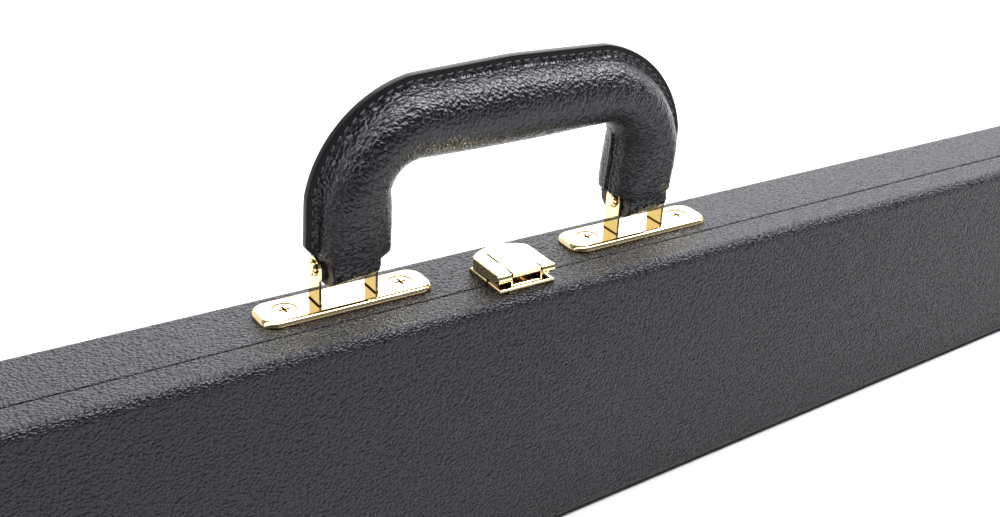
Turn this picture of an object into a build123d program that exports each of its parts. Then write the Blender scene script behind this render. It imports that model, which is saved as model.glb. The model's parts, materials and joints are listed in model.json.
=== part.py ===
from build123d import *
import os
from math import cos, radians, sin, sqrt, tan

# Double bass bow case, standing on its hinge side
# +X runs from the frog end to the tip end, +Y from the lid to the base half, +Z up
# The origin is under the handle, in the middle of the bottom side

# Shell
LENGTH = 800.0
THICKNESS = 41.6
LID_DEPTH = 13.9
HEIGHT_AT_HANDLE = 99.3
TAPER = 3.49
EDGE_RADIUS = 3.8
SKIN = 0.8
PANEL = 4.0
RAIL = 7.0
END_BLOCK = 8.0
LINING = 1.0
SEAM_GAP = 0.4
RIM_TURN_IN = 5.0
RIM_RADIUS = 0.5
LINING_STEP = 2.5
JOINT_GAP = 0.2

# Hinges
HINGE_COUNT = 3
HINGE_END_INSET = 110.0
HINGE_LENGTH = 32.0
HINGE_AXIS_HEIGHT = 2.2
BARREL_RADIUS = 2.0
HINGE_PIN_RADIUS = 0.9
LEAF = 0.9
LEAF_HEIGHT = 5.4
LEAF_GAP = 0.1
BEVEL_WIDTH = 3.3
SCREW_SPACING_ON_LEAF = 20.0
LEAF_SCREW_RADIUS = 0.7
LEAF_SCREW_HEAD = 1.3
LEAF_SCREW_MARGIN = 0.3
LEAF_SCREW_LENGTH = 5.0

# Handle mounts on the top side
MOUNT_SPACING = 118.0
MOUNT_Y = 5.6
PLATE_LENGTH = 61.4
PLATE_WIDTH = 16.0
PLATE_HEIGHT = 2.0
PLATE_SHEET = 0.9
PLATE_EDGE = 1.9
PLATE_CORNER = 6.0
PLATE_SCREW_SPACING = 41.6
PLATE_SCREW_HEAD = 3.6
PLATE_SCREW_RING = 0.35
PLATE_SCREW_SINK = 0.2
PLATE_SCREW_RADIUS = 1.6
PLATE_SCREW_LENGTH = 7.5
CROSS_LENGTH = 4.2
CROSS_WIDTH = 0.8
CROSS_DEPTH = 0.9
STRAP_SHEET = 0.9
EAR_WIDTH = 7.7
EAR_SPREAD = 21.0
EAR_SLOT_GAP = 0.45
PIVOT_HEIGHT = 14.3
PIN_RADIUS = 1.5
PIN_HEAD_RADIUS = 2.6
PIN_HEAD = 1.2

# Handle
LEG_SPACING = 115.0
GRIP_HEIGHT = 58.3
GRIP_RADIUS = 12.9
GRIP_END_RADIUS = 12.3
LEG_RADIUS = 12.7
LEG_FOOT_RADIUS = 12.3
INNER_CORNER = 8.0
OUTER_CORNER = 41.2
BEND_STEPS = 4
LEG_END_HEIGHT = 18.5
LEG_END_HALF = 9.6
LOOP_WIDTH = 17.0
LOOP_HALF = 9.0
LOOP_DROP = 6.2
LEATHER = 1.4
FIN_REACH = 3.8
FIN_THICKNESS = 2.8
FIN_END_HEIGHT = 18.8
SLIT_WIDTH = 1.6
SLIT_TOP = 44.0
BAR_WIDTH = 10.0
BAR_SHEET = 1.8
TUBE_RADIUS = 3.4
INNER_FACETS = 12

# Latch
LATCH_CENTRE = -1.2
LATCH_PLATE_WIDTH = 21.5
LATCH_PLATE = 1.6
LATCH_NEAR_EDGE = -15.3
LATCH_FAR_EDGE = 4.4
LATCH_SEAM_GAP = 0.5
LEVER_WIDTH = 22.3
LEVER_HEIGHT = 6.6
LEVER_SHEET = 0.8
SKIRT_BOTTOM = 2.2
LEVER_FAR_RADIUS = 15.5
LEVER_FAR_END = 6.9
LEVER_CORNER = 2.5
LATCH_PIN_Y = -13.0
LATCH_PIN_HEIGHT = 4.85
LATCH_PIN_RADIUS = 0.6
KNUCKLE_RADIUS = 1.75
TONGUE_WIDTH = 11.0
TONGUE_FRONT = -14.3
TONGUE_BACK = -5.5
TONGUE_SHEET = 0.5
TONGUE_LIP = 1.5
SLOT_WIDTH = 0.8
SLOT_FAR_END = 1.9
TONGUE_SIDE_GAP = 0.35
LATCH_EAR = 0.5
RIB_Y = -13.6
RIB_RADIUS = 1.1
RIB_HEIGHT = 0.7
CATCH_Y = 1.4
CATCH_SHEET = 0.8
CATCH_WIDTH = 8.0
CATCH_HEIGHT = 4.9
RIVET_RADIUS = 0.9
RIVET_HEAD = 1.7

# Bow rests and turn buttons
FROG_REST_INSET = 170.0
TIP_REST_INSET = 110.0
REST_LENGTH = 30.0
REST_DEPTH = 12.0
REST_WIDTH = 40.0
STICK_DROP = 38.0
STICK_NOTCH = 7.0
BUTTON_LENGTH = 34.0
BUTTON_WIDTH = 9.0
BUTTON_THICKNESS = 2.4
BUTTON_SCREW_RADIUS = 1.5
BUTTON_SCREW_HEAD = 3.2
BUTTON_SCREW_BEVEL = 0.8
BUTTON_SCREW_LENGTH = 9.0

# Fits
RUNNING_FIT = 0.05
SEAT_GAP = 0.1
SOFT_GAP = 0.3

# Places that follow from the sizes
SLOPE = tan(radians(TAPER))
BACK = THICKNESS / 2
FRONT = -THICKNESS / 2
SEAM = FRONT + LID_DEPTH
BASE_RIM = SEAM + SEAM_GAP / 2
LID_RIM = SEAM - SEAM_GAP / 2
BACK_PANEL_INNER = BACK - SKIN - PANEL
FRONT_PANEL_INNER = FRONT + SKIN + PANEL
BAR_END_RADIUS = LOOP_DROP - LEATHER - 2 * SEAT_GAP
TOP_FRAME = Location((0, 0, HEIGHT_AT_HANDLE), (0, TAPER, 0))


def save(node, solid):
    """Write one named piece to its own file."""
    export_step(solid, f"parts/{node}.step")


def top_height(x, depth=0.0):
    """Height of the sloping top at x, or of the surface a depth under it."""
    return HEIGHT_AT_HANDLE - x * SLOPE - depth / cos(radians(TAPER))


def slab(y_low, y_high, side=0.0, end=None):
    """The tapered outline of the case, drawn in by side and end, between two depths."""
    end = side if end is None else end
    left = -LENGTH / 2 + end
    right = LENGTH / 2 - end
    corners = [
        (left, y_low, side),
        (right, y_low, side),
        (right, y_low, top_height(right, side)),
        (left, y_low, top_height(left, side)),
    ]
    outline = Face(Wire.make_polygon([Vector(*c) for c in corners], close=True))
    return Solid.extrude(outline, Vector(0, y_high - y_low, 0))


def block(x_low, x_high, y_low, y_high, z_low, z_high):
    """A plain box between limits."""
    size = (x_high - x_low, y_high - y_low, z_high - z_low)
    return Pos(x_low, y_low, z_low) * Box(*size, align=(Align.MIN, Align.MIN, Align.MIN))


def rod(radius, length, axis="X"):
    """A round bar from the origin along one axis."""
    turn = {"X": (0, 90, 0), "Y": (-90, 0, 0), "Z": (0, 0, 0)}[axis]
    bar = Cylinder(radius, length, align=(Align.CENTER, Align.CENTER, Align.MIN))
    return Rot(*turn) * bar


def rounded_half(rim, face, inset):
    """One half of the case as a full block with its outer edges rounded."""
    low, high = min(rim, face), max(rim, face)
    half = slab(low, high, inset)
    radius = EDGE_RADIUS - inset
    corners = half.edges().filter_by(Axis.Y)
    outer = half.faces().sort_by(Axis.Y)[0 if face < rim else -1].edges()
    return half.fillet(radius, corners + outer)


def bevel_groove():
    """The groove along the bottom seam that lets the halves open past each other."""
    end = LENGTH / 2 + 1
    points = [
        (-end, SEAM - BEVEL_WIDTH, 0),
        (-end, SEAM + BEVEL_WIDTH, 0),
        (-end, SEAM, HINGE_AXIS_HEIGHT),
    ]
    section = Face(Wire.make_polygon([Vector(*p) for p in points], close=True))
    return Solid.extrude(section, Vector(2 * end, 0, 0))


def hinge_places():
    """The middle of each hinge, the outer two as far from the ends as each other."""
    first = -LENGTH / 2 + HINGE_END_INSET
    pitch = (LENGTH - 2 * HINGE_END_INSET) / (HINGE_COUNT - 1)
    return [first + i * pitch for i in range(HINGE_COUNT)]


def hinge_pockets(direction):
    """Room in one half for each hinge barrel and leaf; direction is +1 for the base."""
    room = []
    for x in hinge_places():
        half = HINGE_LENGTH / 2 + SEAT_GAP
        barrel = rod(BARREL_RADIUS + SOFT_GAP, 2 * half)
        room.append(Pos(x - half, SEAM, HINGE_AXIS_HEIGHT) * barrel)
        depth = LEAF_GAP + LEAF
        low, high = sorted((SEAM, SEAM + direction * depth))
        top = HINGE_AXIS_HEIGHT + LEAF_HEIGHT + SEAT_GAP
        room.append(block(x - half, x + half, low, high, 0, top))
    return room


def screw_holes_in_rail(direction):
    """Pilot holes for the leaf screws in a bottom rail."""
    holes = []
    for x, z in leaf_screw_places():
        hole = Pos(x, SEAM, z) * rod(LEAF_SCREW_RADIUS, LEAF_SCREW_LENGTH + LEAF_GAP, "Y")
        holes.append(hole if direction > 0 else mirror(hole, Plane.XZ.offset(-SEAM)))
    return holes


def leaf_screw_places():
    """Where the small screws go through each leaf."""
    z = HINGE_AXIS_HEIGHT + LEAF_HEIGHT - LEAF_SCREW_HEAD - LEAF_SCREW_MARGIN
    side = SCREW_SPACING_ON_LEAF / 2
    return [(x + s, z) for x in hinge_places() for s in (-side, side)]


def shell_half(rim, face, panel_inner):
    """The five wooden pieces of one half, cut from its rounded envelope."""
    direction = 1 if face > rim else -1
    wood_rim = rim + direction * SKIN
    envelope = rounded_half(wood_rim, face - direction * SKIN, SKIN) - bevel_groove()
    rim_low, rim_high = sorted((wood_rim, panel_inner))
    panel_low, panel_high = sorted((panel_inner, face))
    x_end = LENGTH / 2 - SKIN - END_BLOCK
    tall = top_height(-LENGTH / 2) + 1
    wide = LENGTH / 2 + 1
    hollow = slab(rim_low, rim_high, SKIN + RAIL, SKIN + END_BLOCK)
    ring = (envelope & block(-wide, wide, rim_low, rim_high, -1, tall)) - hollow
    middle = block(-x_end, x_end, rim_low, rim_high, -1, tall)
    rails = (ring & middle).solids().sort_by(Axis.Z)
    cuts = hinge_pockets(direction) + screw_holes_in_rail(direction)
    bottom = rails[0]
    for cut in cuts:
        bottom = bottom - cut
    return {
        "panel": envelope & block(-wide, wide, panel_low, panel_high, -1, tall),
        "top_rail": cut_top_holes(rails[-1], direction),
        "bottom_rail": bottom,
        "frog_end": ring & block(-wide, -x_end, rim_low, rim_high, -1, tall),
        "tip_end": ring & block(x_end, wide, rim_low, rim_high, -1, tall),
    }


def cut_top_holes(piece, direction):
    """Holes in the top side for the handle's screws and the latch's rivets."""
    if direction > 0:
        for place in plate_screw_frames():
            piece = piece - place * plate_screw(RUNNING_FIT)
    name = "catch_plate" if direction > 0 else "base_plate"
    for place in latch_rivet_frames(name):
        piece = piece - place * latch_rivet(RUNNING_FIT)
    return piece


def covering(rim, face):
    """Leatherette over one half, turned in over the rim except along the hinge side."""
    direction = 1 if face > rim else -1
    outer = rounded_half(rim, face, 0)
    rim_face = outer.faces().sort_by(Axis.Y)[0 if direction > 0 else -1]
    outer = outer.fillet(RIM_RADIUS, rim_face.edges())
    wood = rounded_half(rim + direction * SKIN, face - direction * SKIN, SKIN)
    low, high = sorted((rim - direction, rim + direction * 2 * SKIN))
    opening = slab(low, high, SKIN + RIM_TURN_IN)
    skin = outer - wood - opening - bevel_groove()
    for pocket in hinge_pockets(direction):
        skin = skin - pocket
    low, high = sorted((rim, face - direction * EDGE_RADIUS))
    x_end = LENGTH / 2 - EDGE_RADIUS
    skin = skin - block(-x_end, x_end, low, high, -1, SKIN)
    low, high = sorted((rim - direction, rim + direction * SKIN))
    x_end = LENGTH / 2 - SKIN
    skin = skin - block(-x_end, x_end, low, high, -1, SKIN + RIM_TURN_IN)
    return cut_top_holes(skin, direction)


def hinge_side_strip(rim, face):
    """The flat strip of leatherette under one half, which the case stands on."""
    direction = 1 if face > rim else -1
    low, high = sorted((rim, face - direction * (EDGE_RADIUS + JOINT_GAP)))
    x_end = LENGTH / 2 - EDGE_RADIUS - JOINT_GAP
    strip = block(-x_end, x_end, low, high, 0, SKIN) - bevel_groove()
    for pocket in hinge_pockets(direction):
        strip = strip - pocket
    return strip


def lining(rim, panel_inner):
    """Velvet over the floor and walls of one half."""
    direction = 1 if panel_inner > rim else -1
    edge = rim + direction * LINING_STEP
    low, high = sorted((edge, panel_inner))
    outer = slab(low, high, SKIN + RAIL, SKIN + END_BLOCK)
    low, high = sorted((edge, panel_inner - direction * LINING))
    return outer - slab(low, high, SKIN + RAIL + LINING, SKIN + END_BLOCK + LINING)


def make_shells():
    """Both halves of the case: wood, leatherette and lining."""
    base = shell_half(BASE_RIM, BACK, BACK_PANEL_INNER)
    lid = shell_half(LID_RIM, FRONT, FRONT_PANEL_INNER)
    save("base_back_panel", base.pop("panel"))
    save("lid_front_panel", lid.pop("panel"))
    for name, piece in base.items():
        save(f"base_{name}", piece)
    for name, piece in lid.items():
        save(f"lid_{name}", piece)
    save("base_covering", covering(BASE_RIM, BACK))
    save("lid_covering", covering(LID_RIM, FRONT))
    save("base_hinge_strip", hinge_side_strip(BASE_RIM, BACK))
    save("lid_hinge_strip", hinge_side_strip(LID_RIM, FRONT))
    save("base_lining", lining(BASE_RIM, BACK_PANEL_INNER))
    save("lid_lining", lining(LID_RIM, FRONT_PANEL_INNER))


def countersunk_screw(radius, head_radius, length):
    """A flat-headed screw with its head face at the origin, pointing along +Y."""
    profile = Polyline(
        (0, 0), (head_radius, 0), (radius, head_radius - radius), (radius, length - radius),
        (0, length), close=True,
    )
    return revolve(make_face(profile), Axis.Y)


def hinge_leaf(x, direction):
    """One brass leaf with its part of the barrel; the base leaf has the outer knuckles."""
    third = HINGE_LENGTH / 3
    depth_low, depth_high = sorted((SEAM + direction * LEAF_GAP, SEAM + direction * (LEAF_GAP + LEAF)))
    half = HINGE_LENGTH / 2
    axis_z = HINGE_AXIS_HEIGHT
    plate = block(x - half, x + half, depth_low, depth_high, axis_z, axis_z + LEAF_HEIGHT)
    room = Pos(x - half, SEAM, axis_z) * rod(BARREL_RADIUS + SEAT_GAP, HINGE_LENGTH)
    plate = plate - room
    own = [(-half, -half + third), (half - third, half)] if direction > 0 else [(-third / 2, third / 2)]
    leaf = plate
    for start, end in own:
        low, high = x + start, x + end
        if direction < 0:
            low, high = low + SEAT_GAP, high - SEAT_GAP
        knuckle = Pos(low, SEAM, axis_z) * rod(BARREL_RADIUS, high - low)
        root = block(low, high, depth_low, depth_high, axis_z, axis_z + BARREL_RADIUS + LEAF)
        leaf = leaf + (knuckle + root)
    bore = Pos(x - half - 1, SEAM, axis_z) * rod(HINGE_PIN_RADIUS + RUNNING_FIT, HINGE_LENGTH + 2)
    leaf = leaf - bore
    for sx, sz in leaf_screw_places():
        if abs(sx - x) < half:
            leaf = leaf - leaf_screw(sx, sz, direction, RUNNING_FIT)
    return leaf


def leaf_screw(x, z, direction, clearance=0.0):
    """A small screw through a leaf, or the room for it."""
    screw = countersunk_screw(
        LEAF_SCREW_RADIUS + clearance, LEAF_SCREW_HEAD + clearance, LEAF_SCREW_LENGTH)
    screw = Pos(x, SEAM + LEAF_GAP, z) * screw
    return screw if direction > 0 else mirror(screw, Plane.XZ.offset(-SEAM))


def make_hinges():
    """Butt hinges let into the bottom seam."""
    for number, x in enumerate(hinge_places(), start=1):
        save(f"hinge_{number}_base_leaf", hinge_leaf(x, 1))
        save(f"hinge_{number}_lid_leaf", hinge_leaf(x, -1))
        pin = Pos(x - HINGE_LENGTH / 2, SEAM, HINGE_AXIS_HEIGHT) * rod(HINGE_PIN_RADIUS, HINGE_LENGTH)
        save(f"hinge_{number}_pin", pin)
    places = leaf_screw_places()
    save("hinge_screws_base", Compound([leaf_screw(x, z, 1).solid() for x, z in places]))
    save("hinge_screws_lid", Compound([leaf_screw(x, z, -1).solid() for x, z in places]))


def cross_recess(depth=CROSS_DEPTH):
    """The cross in a screw head, sunk below the origin."""
    arm = Box(CROSS_LENGTH, CROSS_WIDTH, depth, align=(Align.CENTER, Align.CENTER, Align.MAX))
    return arm + Rot(0, 0, 90) * arm


def plate_screw_places():
    """Both screws of a handle plate, from its middle."""
    return [-PLATE_SCREW_SPACING / 2, PLATE_SCREW_SPACING / 2]


def plate_screw_frames():
    """The frame of each handle plate screw at its head face."""
    frames = []
    for side in (-1, 1):
        for x in plate_screw_places():
            place = Pos(side * MOUNT_SPACING / 2 + x, MOUNT_Y, PLATE_HEIGHT - PLATE_SCREW_SINK)
            frames.append(TOP_FRAME * place)
    return frames


def plate_screw(clearance=0.0):
    """A countersunk wood screw standing head up at the origin, or the room for it."""
    body = countersunk_screw(
        PLATE_SCREW_RADIUS + clearance, PLATE_SCREW_HEAD + clearance, PLATE_SCREW_LENGTH)
    return Rot(-90, 0, 0) * body


def handle_plate():
    """Pressed plate with long rounded ends, soft edges, hollow below, two slots and two dimples."""
    outline = RectangleRounded(PLATE_LENGTH, PLATE_WIDTH, PLATE_CORNER)
    plate = extrude(outline, PLATE_HEIGHT)
    plate = plate.fillet(PLATE_EDGE, plate.faces().sort_by(Axis.Z)[-1].edges())
    inner_corner = PLATE_CORNER - PLATE_SHEET
    room = RectangleRounded(PLATE_LENGTH - 2 * PLATE_SHEET, PLATE_WIDTH - 2 * PLATE_SHEET, inner_corner)
    plate = plate - extrude(room, PLATE_HEIGHT - PLATE_SHEET)
    ring = PLATE_SCREW_HEAD + PLATE_SCREW_RING
    seat = PLATE_HEIGHT - PLATE_SCREW_SINK
    for x in plate_screw_places():
        boss = Cylinder(ring, PLATE_HEIGHT - PLATE_SHEET, align=(Align.CENTER, Align.CENTER, Align.MIN))
        plate = plate + Pos(x, 0, 0) * boss
        plate = plate - Pos(x, 0, seat) * plate_screw(RUNNING_FIT)
        plate = plate - Pos(x, 0, seat) * Cylinder(ring, PLATE_HEIGHT, align=(Align.CENTER, Align.CENTER, Align.MIN))
    slot = Box(STRAP_SHEET + 2 * EAR_SLOT_GAP, EAR_WIDTH + 2 * SEAT_GAP, 3 * PLATE_HEIGHT)
    for x in ear_places():
        plate = plate - Pos(x, 0, 0) * slot
    return plate


def ear_places():
    """The middle of each ear, from the middle of its plate."""
    return [-(EAR_SPREAD - STRAP_SHEET) / 2, (EAR_SPREAD - STRAP_SHEET) / 2]


def handle_strap():
    """U of brass strip under a plate, whose two ears rise through the slots to hold the pin."""
    base = block(-EAR_SPREAD / 2, EAR_SPREAD / 2, -EAR_WIDTH / 2, EAR_WIDTH / 2, 0, STRAP_SHEET)
    strap = base
    top = PIVOT_HEIGHT + EAR_WIDTH / 2
    for x in ear_places():
        half = STRAP_SHEET / 2
        ear = block(x - half, x + half, -EAR_WIDTH / 2, EAR_WIDTH / 2, 0, top)
        tips = [e for e in ear.edges().filter_by(Axis.X) if e.center().Z > top - SEAT_GAP]
        strap = strap + ear.fillet(EAR_WIDTH / 2 - SEAT_GAP / 2, tips)
    hole = rod(PIN_RADIUS + RUNNING_FIT, 2 * EAR_SPREAD)
    return strap - Pos(-EAR_SPREAD, 0, PIVOT_HEIGHT) * hole


def handle_pin():
    """Riveted pin through both ears, with a domed head outside each."""
    reach = EAR_SPREAD / 2 + SEAT_GAP
    pin = Pos(-reach, 0, 0) * rod(PIN_RADIUS, 2 * reach)
    for side in (-1, 1):
        head = Pos(side * reach, 0, 0) * Rot(0, 90 * side, 0) * Cylinder(
            PIN_HEAD_RADIUS, PIN_HEAD, align=(Align.CENTER, Align.CENTER, Align.MIN))
        crown = [e for e in head.edges().filter_by(GeomType.CIRCLE) if abs(e.center().X) > reach + PIN_HEAD / 2]
        pin = pin + head.fillet(PIN_HEAD * 0.7, crown)
    return Pos(0, 0, PIVOT_HEIGHT) * pin


def make_handle_mounts():
    """Plates, straps, pins and screws that hold the handle to the top rail."""
    for name, side in (("frog", -1), ("tip", 1)):
        place = TOP_FRAME * Pos(side * MOUNT_SPACING / 2, MOUNT_Y, 0)
        save(f"handle_plate_{name}", place * handle_plate())
        save(f"handle_strap_{name}", place * handle_strap())
        save(f"handle_pin_{name}", place * handle_pin())
    screw = plate_screw() - cross_recess()
    save("handle_plate_screws", Compound([(place * screw).solid() for place in plate_screw_frames()]))


def grip_section(u, w, angle, half_in_plane, half_across, faceted):
    """One oval section of the grip, or a faceted one in it; the angle turns its normal from +X towards -Z."""
    plane = Plane(origin=(u, 0, w), x_dir=(0, 1, 0), z_dir=(cos(radians(angle)), 0, -sin(radians(angle))))
    if not faceted:
        return plane * Ellipse(half_across, half_in_plane).face()
    turns = [radians(360 * (i + 0.5) / INNER_FACETS) for i in range(INNER_FACETS)]
    corners = [(half_across * cos(t), half_in_plane * sin(t)) for t in turns]
    return plane * make_face(Polyline(*corners, close=True))


def bend_sections(inset):
    """Sections round the bend, between the tight inner corner and the wide outer one."""
    faceted = inset > 0
    leg_inner = LEG_SPACING / 2 - LEG_RADIUS
    grip_inner = GRIP_HEIGHT - GRIP_END_RADIUS
    pivot = (leg_inner - INNER_CORNER, grip_inner - INNER_CORNER)
    outer_u = LEG_SPACING / 2 + LEG_RADIUS - OUTER_CORNER
    outer_w = GRIP_HEIGHT + GRIP_END_RADIUS - OUTER_CORNER
    offset = (pivot[0] - outer_u, pivot[1] - outer_w)
    sections = []
    for i in range(BEND_STEPS + 1):
        share = i / BEND_STEPS
        direction = (sin(radians(90 * share)), cos(radians(90 * share)))
        along = offset[0] * direction[0] + offset[1] * direction[1]
        square = offset[0] ** 2 + offset[1] ** 2
        reach = sqrt(along ** 2 - square + OUTER_CORNER ** 2) - along
        middle = (reach + INNER_CORNER) / 2
        half = (reach - INNER_CORNER) / 2
        across = GRIP_END_RADIUS + (LEG_RADIUS - GRIP_END_RADIUS) * share
        u = pivot[0] + middle * direction[0]
        w = pivot[1] + middle * direction[1]
        sections.append(grip_section(u, w, 90 * share, half - inset, across - inset, faceted))
    return sections


def loop_end(inset):
    """The flattened end of a leg that wraps the bush on the pin."""
    half = LOOP_HALF - inset
    width = LOOP_WIDTH - 2 * inset
    top = LEG_END_HEIGHT + min(inset, LEATHER)
    upper = Pos(0, (top + PIVOT_HEIGHT) / 2) * Rectangle(2 * half, top - PIVOT_HEIGHT)
    lower = Pos(0, PIVOT_HEIGHT) * Ellipse(half, LOOP_DROP - inset)
    plane = Plane(origin=(-width / 2, 0, 0), x_dir=(0, 1, 0), z_dir=(1, 0, 0))
    return extrude(plane * (upper + lower), width)


def grip_body(inset):
    """The whole grip at an inset from its leather surface; the hidden inner ones are faceted."""
    leg = LEG_SPACING / 2
    faceted = inset > 0
    bend = bend_sections(inset)
    middle = grip_section(0, GRIP_HEIGHT, 0, GRIP_RADIUS - inset, GRIP_RADIUS - inset, faceted)
    foot_height = LEG_END_HEIGHT + min(inset, LEATHER)
    foot = grip_section(leg, foot_height, 90, LEG_FOOT_RADIUS - inset, LEG_END_HALF - inset, faceted)
    side = loft([middle, bend[0]], ruled=True)
    side = side + loft(bend, ruled=faceted)
    side = side + loft([bend[-1], foot], ruled=True)
    side = side + Pos(MOUNT_SPACING / 2, 0, 0) * loop_end(inset)
    return side + mirror(side, Plane.YZ)


def rounded_u(outer_half, top, bottom, corner, band):
    """A flat U band in the XZ plane, open below, as a face."""
    inner = corner - band
    outside = FilletPolyline(
        (-outer_half, bottom), (-outer_half, top), (outer_half, top), (outer_half, bottom), radius=corner)
    half = outer_half - band
    inside = FilletPolyline((half, bottom), (half, top - band), (-half, top - band), (-half, bottom), radius=inner)
    foot_a = Line((outer_half, bottom), (half, bottom))
    foot_b = Line((-half, bottom), (-outer_half, bottom))
    return make_face([outside, foot_a, inside, foot_b])


def fin():
    """The sewn edge of the leather along the outside of the grip, rounded at both ends."""
    outer = LEG_SPACING / 2 + LEG_RADIUS + FIN_REACH
    top = GRIP_HEIGHT + GRIP_RADIUS + FIN_REACH - 0.6
    band = FIN_REACH + 6
    face = rounded_u(outer, top, FIN_END_HEIGHT, OUTER_CORNER + FIN_REACH, band)
    flat = extrude(Plane.XZ * face, FIN_THICKNESS / 2, both=True)
    ends = [e for e in flat.edges().filter_by(Axis.Y) if e.center().Z < FIN_END_HEIGHT + SEAT_GAP
            and abs(e.center().X) > outer - SEAT_GAP]
    return flat.fillet(FIN_REACH, ends)


def slit(side):
    """The open slit on the inner side of a leg, where the edges of the leather meet."""
    inner = LEG_SPACING / 2 - LEG_RADIUS
    low, high = sorted((side * (inner - 4), side * (inner + LEATHER + 0.6)))
    return block(low, high, -SLIT_WIDTH / 2, SLIT_WIDTH / 2, LEG_END_HEIGHT - 8, SLIT_TOP)


def bar_shape(clearance=0.0):
    """The flat steel bar inside the handle, with an eye at each end round its bush."""
    outer = MOUNT_SPACING / 2 + BAR_SHEET / 2 + clearance
    band = BAR_SHEET + 2 * clearance
    top = GRIP_HEIGHT + BAR_SHEET / 2 + clearance
    corner = OUTER_CORNER - LEG_RADIUS
    face = rounded_u(outer, top, PIVOT_HEIGHT, corner, band)
    bar = extrude(Plane.XZ * face, BAR_WIDTH / 2 + clearance, both=True)
    for side in (-1, 1):
        start = side * MOUNT_SPACING / 2 - BAR_SHEET / 2 - clearance
        eye = rod(BAR_END_RADIUS + clearance, BAR_SHEET + 2 * clearance)
        bar = bar + Pos(start, 0, PIVOT_HEIGHT) * eye
    return bar


def make_handle():
    """Leather-covered handle: cover with sewn fin, two core halves, steel bar and bushes."""
    place = TOP_FRAME * Pos(0, MOUNT_Y, 0)
    axis_room = [
        Pos(side * MOUNT_SPACING / 2 - LOOP_WIDTH, 0, PIVOT_HEIGHT) * rod(TUBE_RADIUS + SEAT_GAP, 2 * LOOP_WIDTH)
        for side in (-1, 1)
    ]
    core = grip_body(LEATHER + SOFT_GAP)
    cover = grip_body(0) + fin() - grip_body(LEATHER)
    for side in (-1, 1):
        cover = cover - slit(side)
    bar = bar_shape()
    core = core - bar_shape(SEAT_GAP)
    for room in axis_room:
        cover = cover - room
        core = core - room
        bar = bar - room
    reach = MOUNT_SPACING
    near_side = block(-reach, reach, -30, 0, 0, 2 * GRIP_HEIGHT)
    far_side = block(-reach, reach, 0, 30, 0, 2 * GRIP_HEIGHT)
    save("handle_cover", place * cover)
    save("handle_core_near", place * (core & near_side))
    save("handle_core_far", place * (core & far_side))
    save("handle_bar", place * bar)
    for name, side in (("frog", -1), ("tip", 1)):
        tube = rod(TUBE_RADIUS, LOOP_WIDTH) - rod(PIN_RADIUS + RUNNING_FIT, LOOP_WIDTH)
        tube = Pos(side * MOUNT_SPACING / 2 - LOOP_WIDTH / 2, 0, PIVOT_HEIGHT) * tube
        save(f"handle_bush_{name}", place * tube)


def side_profile(points, width):
    """A solid with a side outline in (y, height), centred across the latch."""
    outline = Face(Wire.make_polygon([Vector(-width / 2, y, w) for y, w in points], close=True))
    return Solid.extrude(outline, Vector(width, 0, 0))


def lever_outline(inset, near, height):
    """Plan of the latch lever: straight sides and a round far end, as a solid of a height."""
    radius = LEVER_FAR_RADIUS - inset
    half = LEVER_WIDTH / 2 - inset
    far = LEVER_FAR_END - inset
    body = Pos(0, (near + far) / 2) * Rectangle(2 * half, far - near)
    disc = Pos(0, far - radius) * Circle(radius)
    lower = Pos(0, near + (far - radius - near) / 2) * Rectangle(2 * half, far - radius - near)
    plan = body & (disc + lower)
    solid = extrude(plan, height)
    corners = [e for e in solid.edges().filter_by(Axis.Z) if e.center().Y > far - radius]
    return solid.fillet(LEVER_CORNER - inset, corners)


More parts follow.
